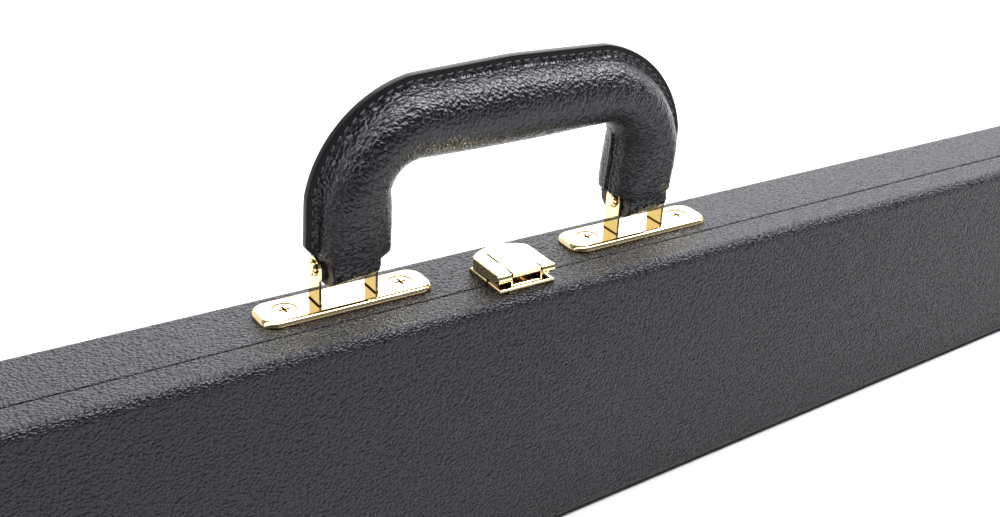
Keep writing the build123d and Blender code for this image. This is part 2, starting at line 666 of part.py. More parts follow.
def latch_lever():
    """Pressed cover: flat top, sides turned down, knuckles at the near end, a hook tab inside."""
    near = LATCH_PIN_Y
    cover = lever_outline(0, near, LEVER_HEIGHT)
    cover = cover.fillet(LEVER_SHEET * 0.6, [e for e in cover.faces().sort_by(Axis.Z)[-1].edges()
                                             if e.center().Y > near + SEAT_GAP])
    cover = cover - lever_outline(LEVER_SHEET, near - 1, LEVER_HEIGHT - LEVER_SHEET)
    low = SKIRT_BOTTOM
    knuckle_low = LATCH_PIN_HEIGHT - KNUCKLE_RADIUS
    skirt = [(near - 3, 0), (LEVER_FAR_END + 1, 0), (LEVER_FAR_END + 1, low), (CATCH_Y, low),
             (near, knuckle_low), (near - 3, knuckle_low)]
    cover = cover - side_profile(skirt, 2 * LEVER_WIDTH)
    knuckle_start = TONGUE_WIDTH / 2 + LATCH_EAR + 2 * SEAT_GAP
    for side in (-1, 1):
        start = knuckle_start if side > 0 else -LEVER_WIDTH / 2
        length = LEVER_WIDTH / 2 - knuckle_start
        barrel = Pos(start, LATCH_PIN_Y, LATCH_PIN_HEIGHT) * rod(KNUCKLE_RADIUS, length)
        cover = cover + barrel
    notch_half = TONGUE_WIDTH / 2 + SEAT_GAP
    notch_start = LATCH_PIN_Y - KNUCKLE_RADIUS - 1
    notch_side = TONGUE_WIDTH / 2 + TONGUE_SIDE_GAP
    cover = cover - block(-notch_side, notch_half, notch_start, TONGUE_BACK + SEAT_GAP, 0, LEVER_HEIGHT + 1)
    ear_room = knuckle_start
    ear_end = LATCH_PIN_Y + KNUCKLE_RADIUS + SEAT_GAP
    cover = cover - block(-ear_room, ear_room, notch_start, ear_end, 0, LEVER_HEIGHT + 1)
    slot_start = -notch_side - TONGUE_SIDE_GAP / 2
    cover = cover - block(slot_start, slot_start + SLOT_WIDTH, TONGUE_BACK, SLOT_FAR_END, 0, LEVER_HEIGHT + 1)
    tab_y = CATCH_Y + CATCH_SHEET + SOFT_GAP
    foot = LATCH_PLATE + SOFT_GAP
    hook = block(-CATCH_WIDTH / 2, CATCH_WIDTH / 2, tab_y, tab_y + LEVER_SHEET, foot, LEVER_HEIGHT - LEVER_SHEET)
    cover = cover + hook
    bore = Pos(-LEVER_WIDTH, LATCH_PIN_Y, LATCH_PIN_HEIGHT) * rod(LATCH_PIN_RADIUS + RUNNING_FIT, 2 * LEVER_WIDTH)
    return cover - bore


def latch_tongue():
    """Spring tongue set flush in the lever, with its front edge bent down over the pin."""
    front = TONGUE_FRONT
    half = TONGUE_WIDTH / 2
    top = LEVER_HEIGHT
    plate = block(-half, half, front, TONGUE_BACK, top - LEVER_SHEET, top)
    lip = block(-half, half, front, front + TONGUE_SHEET, top - TONGUE_LIP, top)
    tongue = plate + lip
    edge = [e for e in tongue.edges().filter_by(Axis.X) if e.center().Z > top - SEAT_GAP
            and e.center().Y < front + SEAT_GAP]
    tongue = tongue.fillet(TONGUE_SHEET * 0.8, edge)
    under = top - LEVER_SHEET
    tail = block(-half + 1, half - 1, TONGUE_BACK - 2, CATCH_Y - SOFT_GAP, under - TONGUE_SHEET, under)
    return tongue + tail


def latch_ears():
    """Two ears that carry the lever's pin, wide at the foot and round at the top."""
    ears = []
    for side in (-1, 1):
        low = TONGUE_WIDTH / 2 + SEAT_GAP
        foot = side_profile([(LATCH_PIN_Y - 1.6, LATCH_PLATE), (LATCH_PIN_Y + 3.2, LATCH_PLATE),
                             (LATCH_PIN_Y + 1.2, LATCH_PIN_HEIGHT), (LATCH_PIN_Y - 1.2, LATCH_PIN_HEIGHT)],
                            LATCH_EAR)
        foot = Pos(side * (low + LATCH_EAR / 2), 0, 0) * foot
        start = low if side > 0 else -low - LATCH_EAR
        eye = Pos(start, LATCH_PIN_Y, LATCH_PIN_HEIGHT) * rod(1.25, LATCH_EAR)
        ears.append(foot + eye)
    return ears


def latch_rivet_places():
    """Rivets that hold the near and far latch plates."""
    near_y = (LATCH_NEAR_EDGE + SEAM) / 2 + 0.8
    far_y = (SEAM + CATCH_Y) / 2
    return {"base_plate": [(-3.0, near_y), (3.0, near_y)], "catch_plate": [(-6.5, far_y), (6.5, far_y)]}


def latch_rivet_frames(name):
    """The frame of each rivet of one latch plate at its head face."""
    place = TOP_FRAME * Pos(LATCH_CENTRE, 0, 0)
    return [place * Pos(x, y, LATCH_PLATE) for x, y in latch_rivet_places()[name]]


def latch_rivet(clearance=0.0):
    """A flat countersunk rivet standing at the origin with its head face up."""
    length = SKIN + RAIL + LATCH_PLATE
    head = RIVET_HEAD + clearance
    radius = RIVET_RADIUS + clearance
    body = countersunk_screw(radius, head, length)
    return Rot(-90, 0, 0) * body


def pressed_plate(y_low, y_high):
    """A thin latch plate with a softened top edge."""
    half = LATCH_PLATE_WIDTH / 2
    plate = block(-half, half, y_low, y_high, 0, LATCH_PLATE)
    return plate.fillet(LATCH_PLATE * 0.35, plate.faces().sort_by(Axis.Z)[-1].edges())


def latch_rib():
    """A low rounded rib pressed in the near plate, between the ears."""
    half = TONGUE_WIDTH / 2
    bar = Pos(-half, RIB_Y, LATCH_PLATE + RIB_HEIGHT - RIB_RADIUS) * rod(RIB_RADIUS, 2 * half)
    return bar & block(-half, half, RIB_Y - RIB_RADIUS, RIB_Y + RIB_RADIUS, LATCH_PLATE / 2, LATCH_PLATE + RIB_HEIGHT)


def make_latch():
    """Latch: catch plate on the base half, hinged lever and its plate on the lid."""
    place = TOP_FRAME * Pos(LATCH_CENTRE, 0, 0)
    far = pressed_plate(SEAM + LATCH_SEAM_GAP, LATCH_FAR_EDGE)
    catch = block(-CATCH_WIDTH / 2, CATCH_WIDTH / 2, CATCH_Y, CATCH_Y + CATCH_SHEET, 0, CATCH_HEIGHT)
    far = far + catch
    near = pressed_plate(LATCH_NEAR_EDGE, SEAM - LATCH_SEAM_GAP) + latch_rib()
    for ear in latch_ears():
        near = near + ear
    hole = rod(LATCH_PIN_RADIUS + RUNNING_FIT, 2 * LEVER_WIDTH)
    near = near - Pos(-LEVER_WIDTH, LATCH_PIN_Y, LATCH_PIN_HEIGHT) * hole
    plates = {"base_plate": near, "catch_plate": far}
    for name, plate in plates.items():
        plate = place * plate
        frames = latch_rivet_frames(name)
        for frame in frames:
            plate = plate - frame * latch_rivet(RUNNING_FIT)
        save(f"latch_{name}", plate)
        save(f"latch_{name}_rivets", Compound([(frame * latch_rivet()).solid() for frame in frames]))
    reach = LEVER_WIDTH / 2 - SEAT_GAP
    pin = Pos(-reach, LATCH_PIN_Y, LATCH_PIN_HEIGHT) * rod(LATCH_PIN_RADIUS, 2 * reach)
    save("latch_pin", place * pin)
    save("latch_lever", place * latch_lever())
    save("latch_tongue", place * latch_tongue())


def bow_rest():
    """A padded block with a round notch for the stick, standing on the lining."""
    rest = block(-REST_LENGTH / 2, REST_LENGTH / 2, -REST_DEPTH, 0, -REST_WIDTH / 2, REST_WIDTH / 2)
    rest = rest.fillet(1.5, rest.faces().sort_by(Axis.Y)[0].edges())
    notch = Pos(-REST_LENGTH, -REST_DEPTH, 0) * rod(STICK_NOTCH, 2 * REST_LENGTH)
    return rest - notch - Pos(0, -REST_DEPTH, button_pivot()) * button_screw(RUNNING_FIT)


def button_pivot():
    """Distance from the notch to the turn button's screw."""
    return (STICK_NOTCH + REST_WIDTH / 2) / 2


def button_screw(clearance=0.0):
    """Round-headed screw along +Y, with the turn button's outer face at the head."""
    gap = BUTTON_THICKNESS + 2 * SOFT_GAP
    shank = Pos(0, -gap, 0) * rod(BUTTON_SCREW_RADIUS + clearance, gap + BUTTON_SCREW_LENGTH, "Y")
    head = Pos(0, -gap, 0) * Rot(90, 0, 0) * Cylinder(
        BUTTON_SCREW_HEAD, 1.4, align=(Align.CENTER, Align.CENTER, Align.MIN))
    rim = head.edges().filter_by(GeomType.CIRCLE).sort_by(Axis.Y)[:1]
    return shank + head.chamfer(BUTTON_SCREW_BEVEL, BUTTON_SCREW_BEVEL, rim)


def turn_button():
    """A flat round-ended bar that turns over the stick."""
    length = BUTTON_LENGTH - BUTTON_WIDTH
    plan = Rot(0, 0, -90) * SlotCenterToCenter(length, BUTTON_WIDTH)
    plan = Pos(0, -length / 2) * plan
    bar = extrude(plan, BUTTON_THICKNESS) - Cylinder(BUTTON_SCREW_RADIUS + RUNNING_FIT, 4 * BUTTON_THICKNESS)
    return Rot(90, 0, 0) * bar


def make_rests():
    """Bow rests, turn buttons and their screws, inside the base half."""
    screws = []
    floor = BACK_PANEL_INNER - LINING
    for name, x in (("frog", FROG_REST_INSET - LENGTH / 2), ("tip", LENGTH / 2 - TIP_REST_INSET)):
        z = top_height(x, STICK_DROP)
        save(f"{name}_rest", Pos(x, floor, z) * bow_rest())
        pivot = Pos(x, floor - REST_DEPTH, z + button_pivot())
        save(f"{name}_turn_button", pivot * Pos(0, -SOFT_GAP, 0) * turn_button())
        screws.append((pivot * button_screw()).solid())
    save("turn_button_screws", Compound(screws))


os.makedirs("parts", exist_ok=True)
make_shells()
make_hinges()
make_handle_mounts()
make_handle()
make_latch()
make_rests()
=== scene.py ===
# %% [markdown]
# # A double bass bow case
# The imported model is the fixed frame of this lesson: wood, leatherette, hinges, handle mounts and
# latch are already there, in metres, in one shared frame. What is made here is what such a model
# can't show well: the sewn leather of the handle, its stitches, its cut edges, the velvet inside,
# and every finish.

# %% Load the frame
import json
import math

import bpy
import numpy as np
from mathutils import Matrix, Vector


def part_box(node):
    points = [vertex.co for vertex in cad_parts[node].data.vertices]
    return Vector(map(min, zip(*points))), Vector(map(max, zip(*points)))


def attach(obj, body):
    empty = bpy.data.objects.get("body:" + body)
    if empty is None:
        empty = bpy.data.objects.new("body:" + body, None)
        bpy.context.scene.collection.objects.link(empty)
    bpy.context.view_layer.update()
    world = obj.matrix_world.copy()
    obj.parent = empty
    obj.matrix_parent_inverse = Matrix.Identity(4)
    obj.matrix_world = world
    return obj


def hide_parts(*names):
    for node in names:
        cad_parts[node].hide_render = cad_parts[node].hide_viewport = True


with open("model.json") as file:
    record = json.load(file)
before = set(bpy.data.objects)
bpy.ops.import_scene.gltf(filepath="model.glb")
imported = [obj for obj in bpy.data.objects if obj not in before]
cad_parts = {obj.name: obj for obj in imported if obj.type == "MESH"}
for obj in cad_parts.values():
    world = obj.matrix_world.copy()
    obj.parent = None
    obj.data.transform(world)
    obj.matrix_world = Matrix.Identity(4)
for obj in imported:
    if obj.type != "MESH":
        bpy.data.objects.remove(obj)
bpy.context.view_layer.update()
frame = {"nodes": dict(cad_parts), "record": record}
mm = 0.001

# %% [markdown]
# ## The level frame of the top side
# The top of the case slopes down from the frog end to the tip end. The handle and the latch stand
# square on that slope, so their pieces are worked out in a frame that leans with it: u along the
# slope, y across the case, w straight up from the slope. One small function turns those three
# numbers into places on the case, so the slope is written down only once.

# %% The sloping frame
TOP_HEIGHT = 99.3
SLOPE = math.radians(3.49)
MOUNT_Y = 5.6
MOUNT_U = 59.0
PIVOT_W = 14.3


def on_slope(u, y, w):
    """Place of (u, y, w): u along the slope and w square to it, turned by the slope about Y."""
    u, y, w = np.broadcast_arrays(np.asarray(u, float), y, w)
    x = u * math.cos(SLOPE) + w * math.sin(SLOPE)
    z = TOP_HEIGHT - u * math.sin(SLOPE) + w * math.cos(SLOPE)
    return np.stack([x, y, z], axis=-1) * mm


print("pivot of the handle in mm:", (on_slope(0, MOUNT_Y, PIVOT_W) / mm).round(2))

# %% [markdown]
# ## Making a mesh from arrays
# A surface is a grid of points, rows along one parameter and columns along the other. All its
# corners and faces are worked out as whole arrays, so no loop over points is needed. The pattern
# coordinates go into a UV map in real millimetres, so that grain has a true size.


# %% Grid helper
def grid_faces(rows, columns, close_rows=False, close_columns=False):
    """Corner numbers of every four-sided face between neighbouring rows and columns."""
    i = np.arange(rows if close_rows else rows - 1)[:, None]
    j = np.arange(columns if close_columns else columns - 1)[None, :]
    ni, nj = (i + 1) % rows, (j + 1) % columns
    faces = [i * columns + j, ni * columns + j, ni * columns + nj, i * columns + nj]
    return np.stack(np.broadcast_arrays(*faces), axis=-1).reshape(-1, 4)


def mesh_piece(name, points, faces, body, materials, uv=None, flip=False, second=None):
    """A smooth piece riding on a body; second marks the faces that get the second material."""
    faces = faces[:, ::-1] if flip else faces
    mesh = bpy.data.meshes.new(name)
    mesh.from_pydata(points.reshape(-1, 3).tolist(), [], faces.tolist())
    if uv is not None:
        layer = mesh.uv_layers.new(name="pattern")
        corners = uv.reshape(-1, 2)[faces.reshape(-1)]
        layer.data.foreach_set("uv", corners.astype(np.float32).reshape(-1))
    mesh.polygons.foreach_set("use_smooth", np.ones(len(mesh.polygons), bool))
    mesh.update()
    for material in materials:
        mesh.materials.append(material)
    if second is not None:
        mesh.polygons.foreach_set("material_index", second.astype(np.int32))
    piece = bpy.data.objects.new(name, mesh)
    bpy.context.scene.collection.objects.link(piece)
    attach(piece, body)
    return piece


def grid_normals(points):
    """Unit normals of a grid whose columns close: the cross product of its steps both ways."""
    along = np.gradient(points, axis=0)
    across = (np.roll(points, -1, axis=1) - np.roll(points, 1, axis=1)) / 2
    normals = np.cross(along, across)
    return normals / np.maximum(np.linalg.norm(normals, axis=-1, keepdims=True), 1e-12)


# %% [markdown]
# ## Lines and outlines
# Several pieces start from a line of points. It is measured along itself, cut into even steps and
# given a sideways direction at every point. An easing curve softens the start and end of a change.


# %% Line helpers
def ease(t):
    """3t^2 - 2t^3: from 0 to 1, level at both ends."""
    return t * t * (3 - 2 * t)


def lengths(path):
    """Distance along a line of points, from its start to each point."""
    return np.concatenate([[0], np.cumsum(np.linalg.norm(np.diff(path, axis=0), axis=1))])


def sample(path, length, at):
    """Values known at lengths along a path, read at other lengths along it."""
    return np.stack([np.interp(at, length, column) for column in path.T], axis=-1)


def sideways(outline):
    """Unit directions square to a closed outline: each point's step over its neighbours, turned left."""
    step = np.roll(outline, -1, axis=0) - np.roll(outline, 1, axis=0)
    normal = np.stack([-step[:, 1], step[:, 0]], axis=1)
    return normal / np.linalg.norm(normal, axis=1, keepdims=True)


def box_in_mm(node):
    """Low and high corner of one of the model's nodes, in millimetres."""
    return [np.array(corner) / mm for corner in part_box(node)]


# %% [markdown]
# ## Soft noise in real sizes
# Leather is never quite even. A lattice of seeded random numbers, blended with an easing curve,
# gives the same soft unevenness on every run. The lattice wraps round in one direction, because
# a sleeve of leather closes on itself.

# %% Noise helper
TABLE_ROWS = 512


def soft_noise(a, b, period, seed):
    """Random lattice values from -1 to 1, blended by the easing curve; b wraps round at the period."""
    table = np.random.default_rng(seed).uniform(-1, 1, (TABLE_ROWS, max(1, int(period))))
    a0, b0 = np.floor(a).astype(int), np.floor(b).astype(int)
    ea, eb = ease(a - a0), ease(b - b0)
    columns = table.shape[1]

    def value(i, j):
        return table[i % TABLE_ROWS, j % columns]

    low = value(a0, b0) * (1 - eb) + value(a0, b0 + 1) * eb
    high = value(a0 + 1, b0) * (1 - eb) + value(a0 + 1, b0 + 1) * eb
    return low * (1 - ea) + high * ea


# %% [markdown]
# ## The camera
# The photograph looks down on the case from the lid's side, from the left. Its place was worked
# out from the screws, rivets and edges of the real object, so the camera is set by three
# directions instead of being aimed by eye. Its focal length is counted in the picture's pixels.

# %% Camera
EYE = Vector((-218.79, -338.7, 323.05)) * mm
LOOK = Vector((0.4729, 0.7401, -0.4782)).normalized()
RIGHT = Vector((0.8427, -0.5384, -0.0001))
RIGHT = (RIGHT - RIGHT.dot(LOOK) * LOOK).normalized()
UP = RIGHT.cross(LOOK)
SENSOR = 36.0
FOCAL_LENGTH, PICTURE_WIDTH = 1346.0, 1000.0

camera_data = bpy.data.cameras.new("photo_camera")
camera_data.sensor_width = SENSOR
camera_data.lens = FOCAL_LENGTH / PICTURE_WIDTH * SENSOR
camera_data.clip_start = 0.01
camera_data.clip_end = 50.0
camera = bpy.data.objects.new("photo_camera", camera_data)
bpy.context.scene.collection.objects.link(camera)
turn = Matrix((RIGHT, UP, -LOOK)).transposed().to_4x4()
camera.matrix_world = Matrix.Translation(EYE) @ turn
bpy.context.scene.camera = camera
print("lens in mm:", round(camera_data.lens, 2))

# %% [markdown]
# ## Material helpers
# A node material is a small graph. These helpers add a node, link sockets and build the grains
# that several finishes share. Uniform values such as roughness go straight on the shader.


# %% Node helpers
class Graph:
    """The node tree of a material or a world, with short ways to add nodes and links."""

    def __init__(self, name, world=False):
        self.owner = bpy.data.worlds.new(name) if world else bpy.data.materials.new(name)
        self.owner.use_nodes = True
        self.tree = self.owner.node_tree
        self.shader = self.tree.nodes["Background" if world else "Principled BSDF"]

    def add(self, kind, links=(), **values):
        """A node with its attributes or input values set, and inputs linked by name."""
        node = self.tree.nodes.new("ShaderNode" + kind)
        for key, value in values.items():
            if key in node.inputs:
                node.inputs[key].default_value = value
            else:
                setattr(node, key, value)
        for socket, source in dict(links).items():
            self.link(source, node.inputs[socket])
        return node

    def link(self, source, target):
        """Join an output to an input."""
        self.tree.links.new(source, target)

    def place(self, scale=(1, 1, 1), uv=False, turn=(0, 0, 0)):
        """Pattern coordinates on the object or its UV map, stretched by scale."""
        if uv:
            source = self.add("UVMap", uv_map="pattern").outputs["UV"]
        else:
            source = self.add("TexCoord").outputs["Object"]
        mapping = self.add("Mapping", {"Vector": source})
        mapping.inputs["Scale"].default_value = scale
        mapping.inputs["Rotation"].default_value = turn
        return mapping.outputs["Vector"]

    def math(self, operation, a, b=0.0, c=0.0, clamp=False):
        """One sum on two or three numbers or sockets."""
        node = self.add("Math", operation=operation, use_clamp=clamp)
        for socket, value in zip(node.inputs, (a, b, c)):
            if isinstance(value, (int, float)):
                socket.default_value = value
            else:
                self.link(value, socket)
        return node.outputs[0]

    def ramp(self, fac, low, high):
        """A value eased so that low becomes 0 and high becomes 1."""
        node = self.add("MapRange", {"Value": fac}, interpolation_type="SMOOTHSTEP")
        node.inputs["From Min"].default_value = low
        node.inputs["From Max"].default_value = high
        return node.outputs["Result"]

    def stops(self, fac, places):
        """A colour by a value from 0 to 1, from a list of (value, colour)."""
        node = self.add("ValToRGB", {"Fac": fac})
        elements = node.color_ramp.elements
        while len(elements) < len(places):
            elements.new(0.5)
        for element, (position, colour) in zip(elements, places):
            element.position = position
            element.color = colour
        return node.outputs["Color"]

    def mix(self, fac, a, b):
        """A colour between a and b."""
        node = self.add("Mix", {"Factor": fac}, data_type="RGBA")
        for socket, value in ((node.inputs[6], a), (node.inputs[7], b)):
            if isinstance(value, tuple):
                socket.default_value = (*value, 1.0) if len(value) == 3 else value
            else:
                self.link(value, socket)
        return node.outputs[2]

    def noise(self, vector, scale, detail=2.0, roughness=0.5):
        """A soft noise from 0 to 1."""
        node = self.add("TexNoise", {"Vector": vector}, Scale=scale, Detail=detail, Roughness=roughness)
        return node.outputs["Fac"]

    def bump(self, height, distance, strength=1.0, normal=None):
        """A bump as deep as the height times a distance in metres, on top of another normal."""
        links = {"Height": height}
        if normal is not None:
            links["Normal"] = normal
        return self.add("Bump", links, Distance=distance, Strength=strength).outputs["Normal"]

    def finish(self, colour, roughness, normal=None, **sockets):
        """Set the shader's colour, roughness, normal and other sockets."""
        for name, value in (("Base Color", colour), ("Roughness", roughness)):
            if isinstance(value, tuple):
                self.shader.inputs[name].default_value = (*value, 1.0)
            elif isinstance(value, (int, float)):
                self.shader.inputs[name].default_value = value
            else:
                self.link(value, self.shader.inputs[name])
        if normal is not None:
            self.link(normal, self.shader.inputs["Normal"])
        for name, value in sockets.items():
            self.shader.inputs[name.replace("_", " ")].default_value = value
        return self.owner


def pebble(graph, vector, scale, warp=0.25):
    """Domes with sharp valleys, 1 - d^2 from each cell's middle, and a mask that is 1 on their crowns."""
    push = graph.add("TexNoise", {"Vector": vector}, Scale=scale * 0.6, Detail=1.0)
    shift = graph.add("VectorMath", {0: push.outputs["Color"]}, operation="SUBTRACT")
    shift.inputs[1].default_value = (0.5, 0.5, 0.5)
    sized = graph.add("VectorMath", {0: shift.outputs[0]}, operation="SCALE")
    sized.inputs["Scale"].default_value = warp / scale * 4
    moved = graph.add("VectorMath", {0: vector, 1: sized.outputs[0]}, operation="ADD")
    cells = graph.add("TexVoronoi", {"Vector": moved.outputs[0]}, feature="F1", Scale=scale)
    distance = cells.outputs["Distance"]
    dome = graph.math("SUBTRACT", 1.0, graph.math("MULTIPLY", distance, distance))
    return dome, graph.ramp(dome, 0.55, 0.92)


# %% [markdown]
# ## Leatherette on the shell
# The case is covered with black pebble-grained leatherette. Its cells are about a millimetre
# wide, soft on top, with fine valleys between them. Where the sheet is pulled over the long
# rounded edges the cells are drawn out into short wrinkles. All of it reads Object coordinates,
# because the model's meshes have no UV map, so a scale is a number of cells in a metre.

# %% Leatherette
SHEEN_TINT = (0.92, 0.93, 1.0, 1.0)
PEBBLES, SKIN, SWELL, WEAR = 930.0, 2200.0, 60.0, 25.0
EDGE_START, EDGE_FULL = 0.0165, 0.0200
GRAIN_DEPTH = 0.00054


def leatherette():
    """Black leatherette: pebbles on the flats, drawn-out wrinkles near the rounded long edges."""
    g = Graph("leatherette")
    flat = g.place()
    dome, crown = pebble(g, flat, PEBBLES)
    fine = g.noise(flat, SKIN, 2.0, 0.6)
    broad = g.noise(flat, SWELL, 2.0)
    drawn = g.noise(g.place((800.0, 300.0, 300.0)), 1.0, 3.0, 0.65)
    split = g.add("SeparateXYZ", {"Vector": flat})
    across = g.math("ABSOLUTE", split.outputs["Y"])
    near_edge = g.ramp(across, EDGE_START, EDGE_FULL)
    wrinkles = g.math("MULTIPLY", g.math("MULTIPLY", drawn, near_edge), 0.55)
    height = g.math("ADD", g.math("MULTIPLY_ADD", fine, 0.07, dome), wrinkles)
    height = g.math("MULTIPLY_ADD", broad, 0.8, height)
    normal = g.bump(height, GRAIN_DEPTH)
    # Painted shade: the valleys between the pebbles are coloured darker than their crowns.
    colour = g.mix(crown, (0.0010, 0.0011, 0.0014), (0.0040, 0.0042, 0.0052))
    worn = g.math("MULTIPLY_ADD", g.noise(flat, WEAR, 3.0), 0.06, 0.34)
    rough = g.math("MULTIPLY_ADD", crown, -0.20, worn)
    g.shader.inputs["Specular Tint"].default_value = SHEEN_TINT
    return g.finish(colour, rough, normal, Specular_IOR_Level=0.36)


LEATHERETTE = leatherette()
print("made", LEATHERETTE.name)

# %% [markdown]
# ## Handle leather
# The handle wears a finer, softer leather. It is a sleeve, so its grain follows the sleeve: the
# UV map holds millimetres along and around it, and creases run round the grip where it bends.


# %% Handle leather
def handle_leather():
    """Fine black leather whose creases run round the sleeve."""
    g = Graph("handle_leather")
    dome, crown = pebble(g, g.place((1.0, 0.75, 1.0), uv=True), 0.92, 0.3)
    fine = g.noise(g.place(uv=True), 2.4, 2.0, 0.6)
    rings = g.noise(g.place((0.85, 0.16, 1.0), uv=True), 1.0, 4.0, 0.62)
    height = g.math("MULTIPLY_ADD", fine, 0.10, dome)
    height = g.math("MULTIPLY_ADD", rings, 0.45, height)
    normal = g.bump(height, 0.00042)
    # Painted shade: the valleys between the pebbles are coloured darker than their crowns.
    colour = g.mix(crown, (0.0010, 0.0011, 0.0013), (0.0040, 0.0042, 0.0050))
    worn = g.math("MULTIPLY_ADD", g.noise(g.place(uv=True), 0.08, 3.0), 0.08, 0.33)
    rough = g.math("MULTIPLY_ADD", crown, -0.18, worn)
    g.shader.inputs["Specular Tint"].default_value = SHEEN_TINT
    return g.finish(colour, rough, normal, Specular_IOR_Level=0.50)


def painted_edge():
    """The cut edge of the leather, sealed with black edge paint."""
    g = Graph("painted_edge")
    wave = g.noise(g.place((700, 700, 700)), 1.0, 2.0)
    normal = g.bump(wave, 0.00008, 0.6)
    return g.finish((0.002, 0.002, 0.003), 0.30, normal, Specular_IOR_Level=0.14)


def raw_edge():
    """The unsealed cut edge: grey-brown fibres in fine layers."""
    g = Graph("raw_edge")
    layers = g.noise(g.place((500, 1600, 1600)), 1.0, 3.0, 0.7)
    colour = g.mix(layers, (0.035, 0.030, 0.024), (0.14, 0.125, 0.105))
    normal = g.bump(layers, 0.0002, 0.8)
    return g.finish(colour, 0.75, normal)


def thread():
    """Waxed black thread with a fine twist."""
    g = Graph("thread")
    place = g.place((2500, 2500, 2500), turn=(0, 0.6, 0.6))
    twist = g.add("TexWave", {"Vector": place}, Scale=1.0, Distortion=1.0)
    normal = g.bump(twist.outputs["Fac"], 0.00008, 0.7)
    return g.finish((0.060, 0.060, 0.066), 0.34, normal)


HANDLE_LEATHER = handle_leather()
PAINTED_EDGE, RAW_EDGE, THREAD = painted_edge(), raw_edge(), thread()
print("made", [made.name for made in (HANDLE_LEATHER, PAINTED_EDGE, RAW_EDGE, THREAD)])

# %% [markdown]
# ## Gilt metal
# The plates, straps, pins and latch are pressed brass with a thin bright plating, so they are
# mirrors with a pale gold tint. A mirror shows its surroundings: a very faint waviness from the
# press and a few hairlines keep the reflections from looking computed. Narrow gaps reflect
# themselves, which makes their gold look deeper; here that is painted shade: a deeper gold is
# painted round the screw heads, over their crosses, along the latch's tongue and in recesses. The
# numbers of these gaps are millimetres in the sloping frame.

# %% Gilt and the other metals
SHADE_REACH = 0.0012
SCREW_SPAN, SCREW_HEAD = 20.8, 4.0
LATCH_U, TONGUE_LEFT, TONGUE_RIGHT = -1.2, -6.85, 4.4
TONGUE_Y, TONGUE_HALF = -9.9, 4.4
SHADE_GOLD = (0.30, 0.145, 0.030)


def band(graph, value, middle, half, soft=0.12):
    """1 where a value in millimetres is within half of the middle, easing to 0 over a soft border."""
    away = graph.math("ABSOLUTE", graph.math("SUBTRACT", value, float(middle)))
    return graph.ramp(away, half + soft, half - soft)


def gap_shade(graph):
    """Mask of painted shade round screw heads, over their crosses and round the latch's tongue, in the
    sloping frame.

    u = x cos(slope) - (z - top) sin(slope). Folding |u| about the plates and again about their
    screws lays the four screws on one point, where the gap is a ring.
    """
    calc = graph.math
    split = graph.add("SeparateXYZ", {"Vector": graph.place((1 / mm, 1 / mm, 1 / mm))})
    x, y, z = (split.outputs[axis] for axis in "XYZ")
    rise = calc("MULTIPLY", calc("SUBTRACT", z, TOP_HEIGHT), -math.sin(SLOPE))
    u = calc("MULTIPLY_ADD", x, math.cos(SLOPE), rise)
    from_plate = calc("ABSOLUTE", calc("SUBTRACT", calc("ABSOLUTE", u), MOUNT_U))
    from_screw = calc("SUBTRACT", from_plate, SCREW_SPAN)
    across = calc("SUBTRACT", y, MOUNT_Y)
    squares = [calc("MULTIPLY", side, side) for side in (from_screw, across)]
    radius = calc("SQRT", calc("ADD", *squares))
    # Painted shade: a ring round each screw head and a disc over its cross.
    ring = calc("MULTIPLY", band(graph, radius, SCREW_HEAD, 0.22), 0.85)
    dish = calc("MULTIPLY", band(graph, radius, 0.0, 1.5, 0.5), 0.5)

    def patch(u_middle, u_half, y_middle, y_half):
        return calc("MULTIPLY", band(graph, u, u_middle, u_half), band(graph, y, y_middle, y_half))

    # Painted shade: lines along the latch's slot and round its tongue.
    slot = patch(TONGUE_LEFT, 0.42, -1.8, 3.7)
    left = patch(TONGUE_LEFT, 0.22, TONGUE_Y, TONGUE_HALF)
    right = patch(TONGUE_RIGHT, 0.16, TONGUE_Y, TONGUE_HALF)
    back = patch(LATCH_U, 5.7, -5.45, 0.16)
    lines = calc("MULTIPLY", calc("MAXIMUM", right, back), 0.6)
    mask = calc("MAXIMUM", calc("MAXIMUM", ring, dish), calc("MAXIMUM", slot, left))
    return calc("MAXIMUM", mask, lines)


def gilt():
    """Bright pale gold plating with press waves and hairlines, and painted shade of deeper gold in gaps
    and recesses.
    """
    g = Graph("gilt")
    waves = g.noise(g.place(), 220.0, 2.0)
    hair = g.noise(g.place((3000, 200, 3000)), 1.0, 2.0)
    normal = g.bump(waves, 0.00006, 0.5)
    normal = g.bump(hair, 0.000004, 0.4, normal)
    rough = g.math("MULTIPLY_ADD", g.noise(g.place(), 500.0, 3.0), 0.08, 0.05)
    bright = g.mix(g.noise(g.place(), 90.0, 2.0), (0.94, 0.76, 0.40), (0.97, 0.81, 0.48))
    # Painted shade: ambient occlusion darkens the gold in recesses and narrow slots.
    recess_shade = g.add("AmbientOcclusion", samples=12, Distance=SHADE_REACH).outputs["AO"]
    colour = g.mix(g.ramp(recess_shade, 0.55, 0.97), SHADE_GOLD, bright)
    # Painted shade: the mask mixes the gold down to the deep gold of the shade.
    colour = g.mix(gap_shade(g), colour, SHADE_GOLD)
    return g.finish(colour, rough, normal, Metallic=1.0)


def plain_metal(name, colour, rough):
    """A worked metal with fine drawn lines."""
    g = Graph(name)
    lines = g.noise(g.place((400, 2500, 2500)), 1.0, 3.0)
    dark = tuple(c * 0.8 for c in colour)
    worn = g.math("MULTIPLY_ADD", lines, 0.15, rough)
    return g.finish(g.mix(lines, dark, colour), worn, g.bump(lines, 0.00001, 0.6), Metallic=1.0)


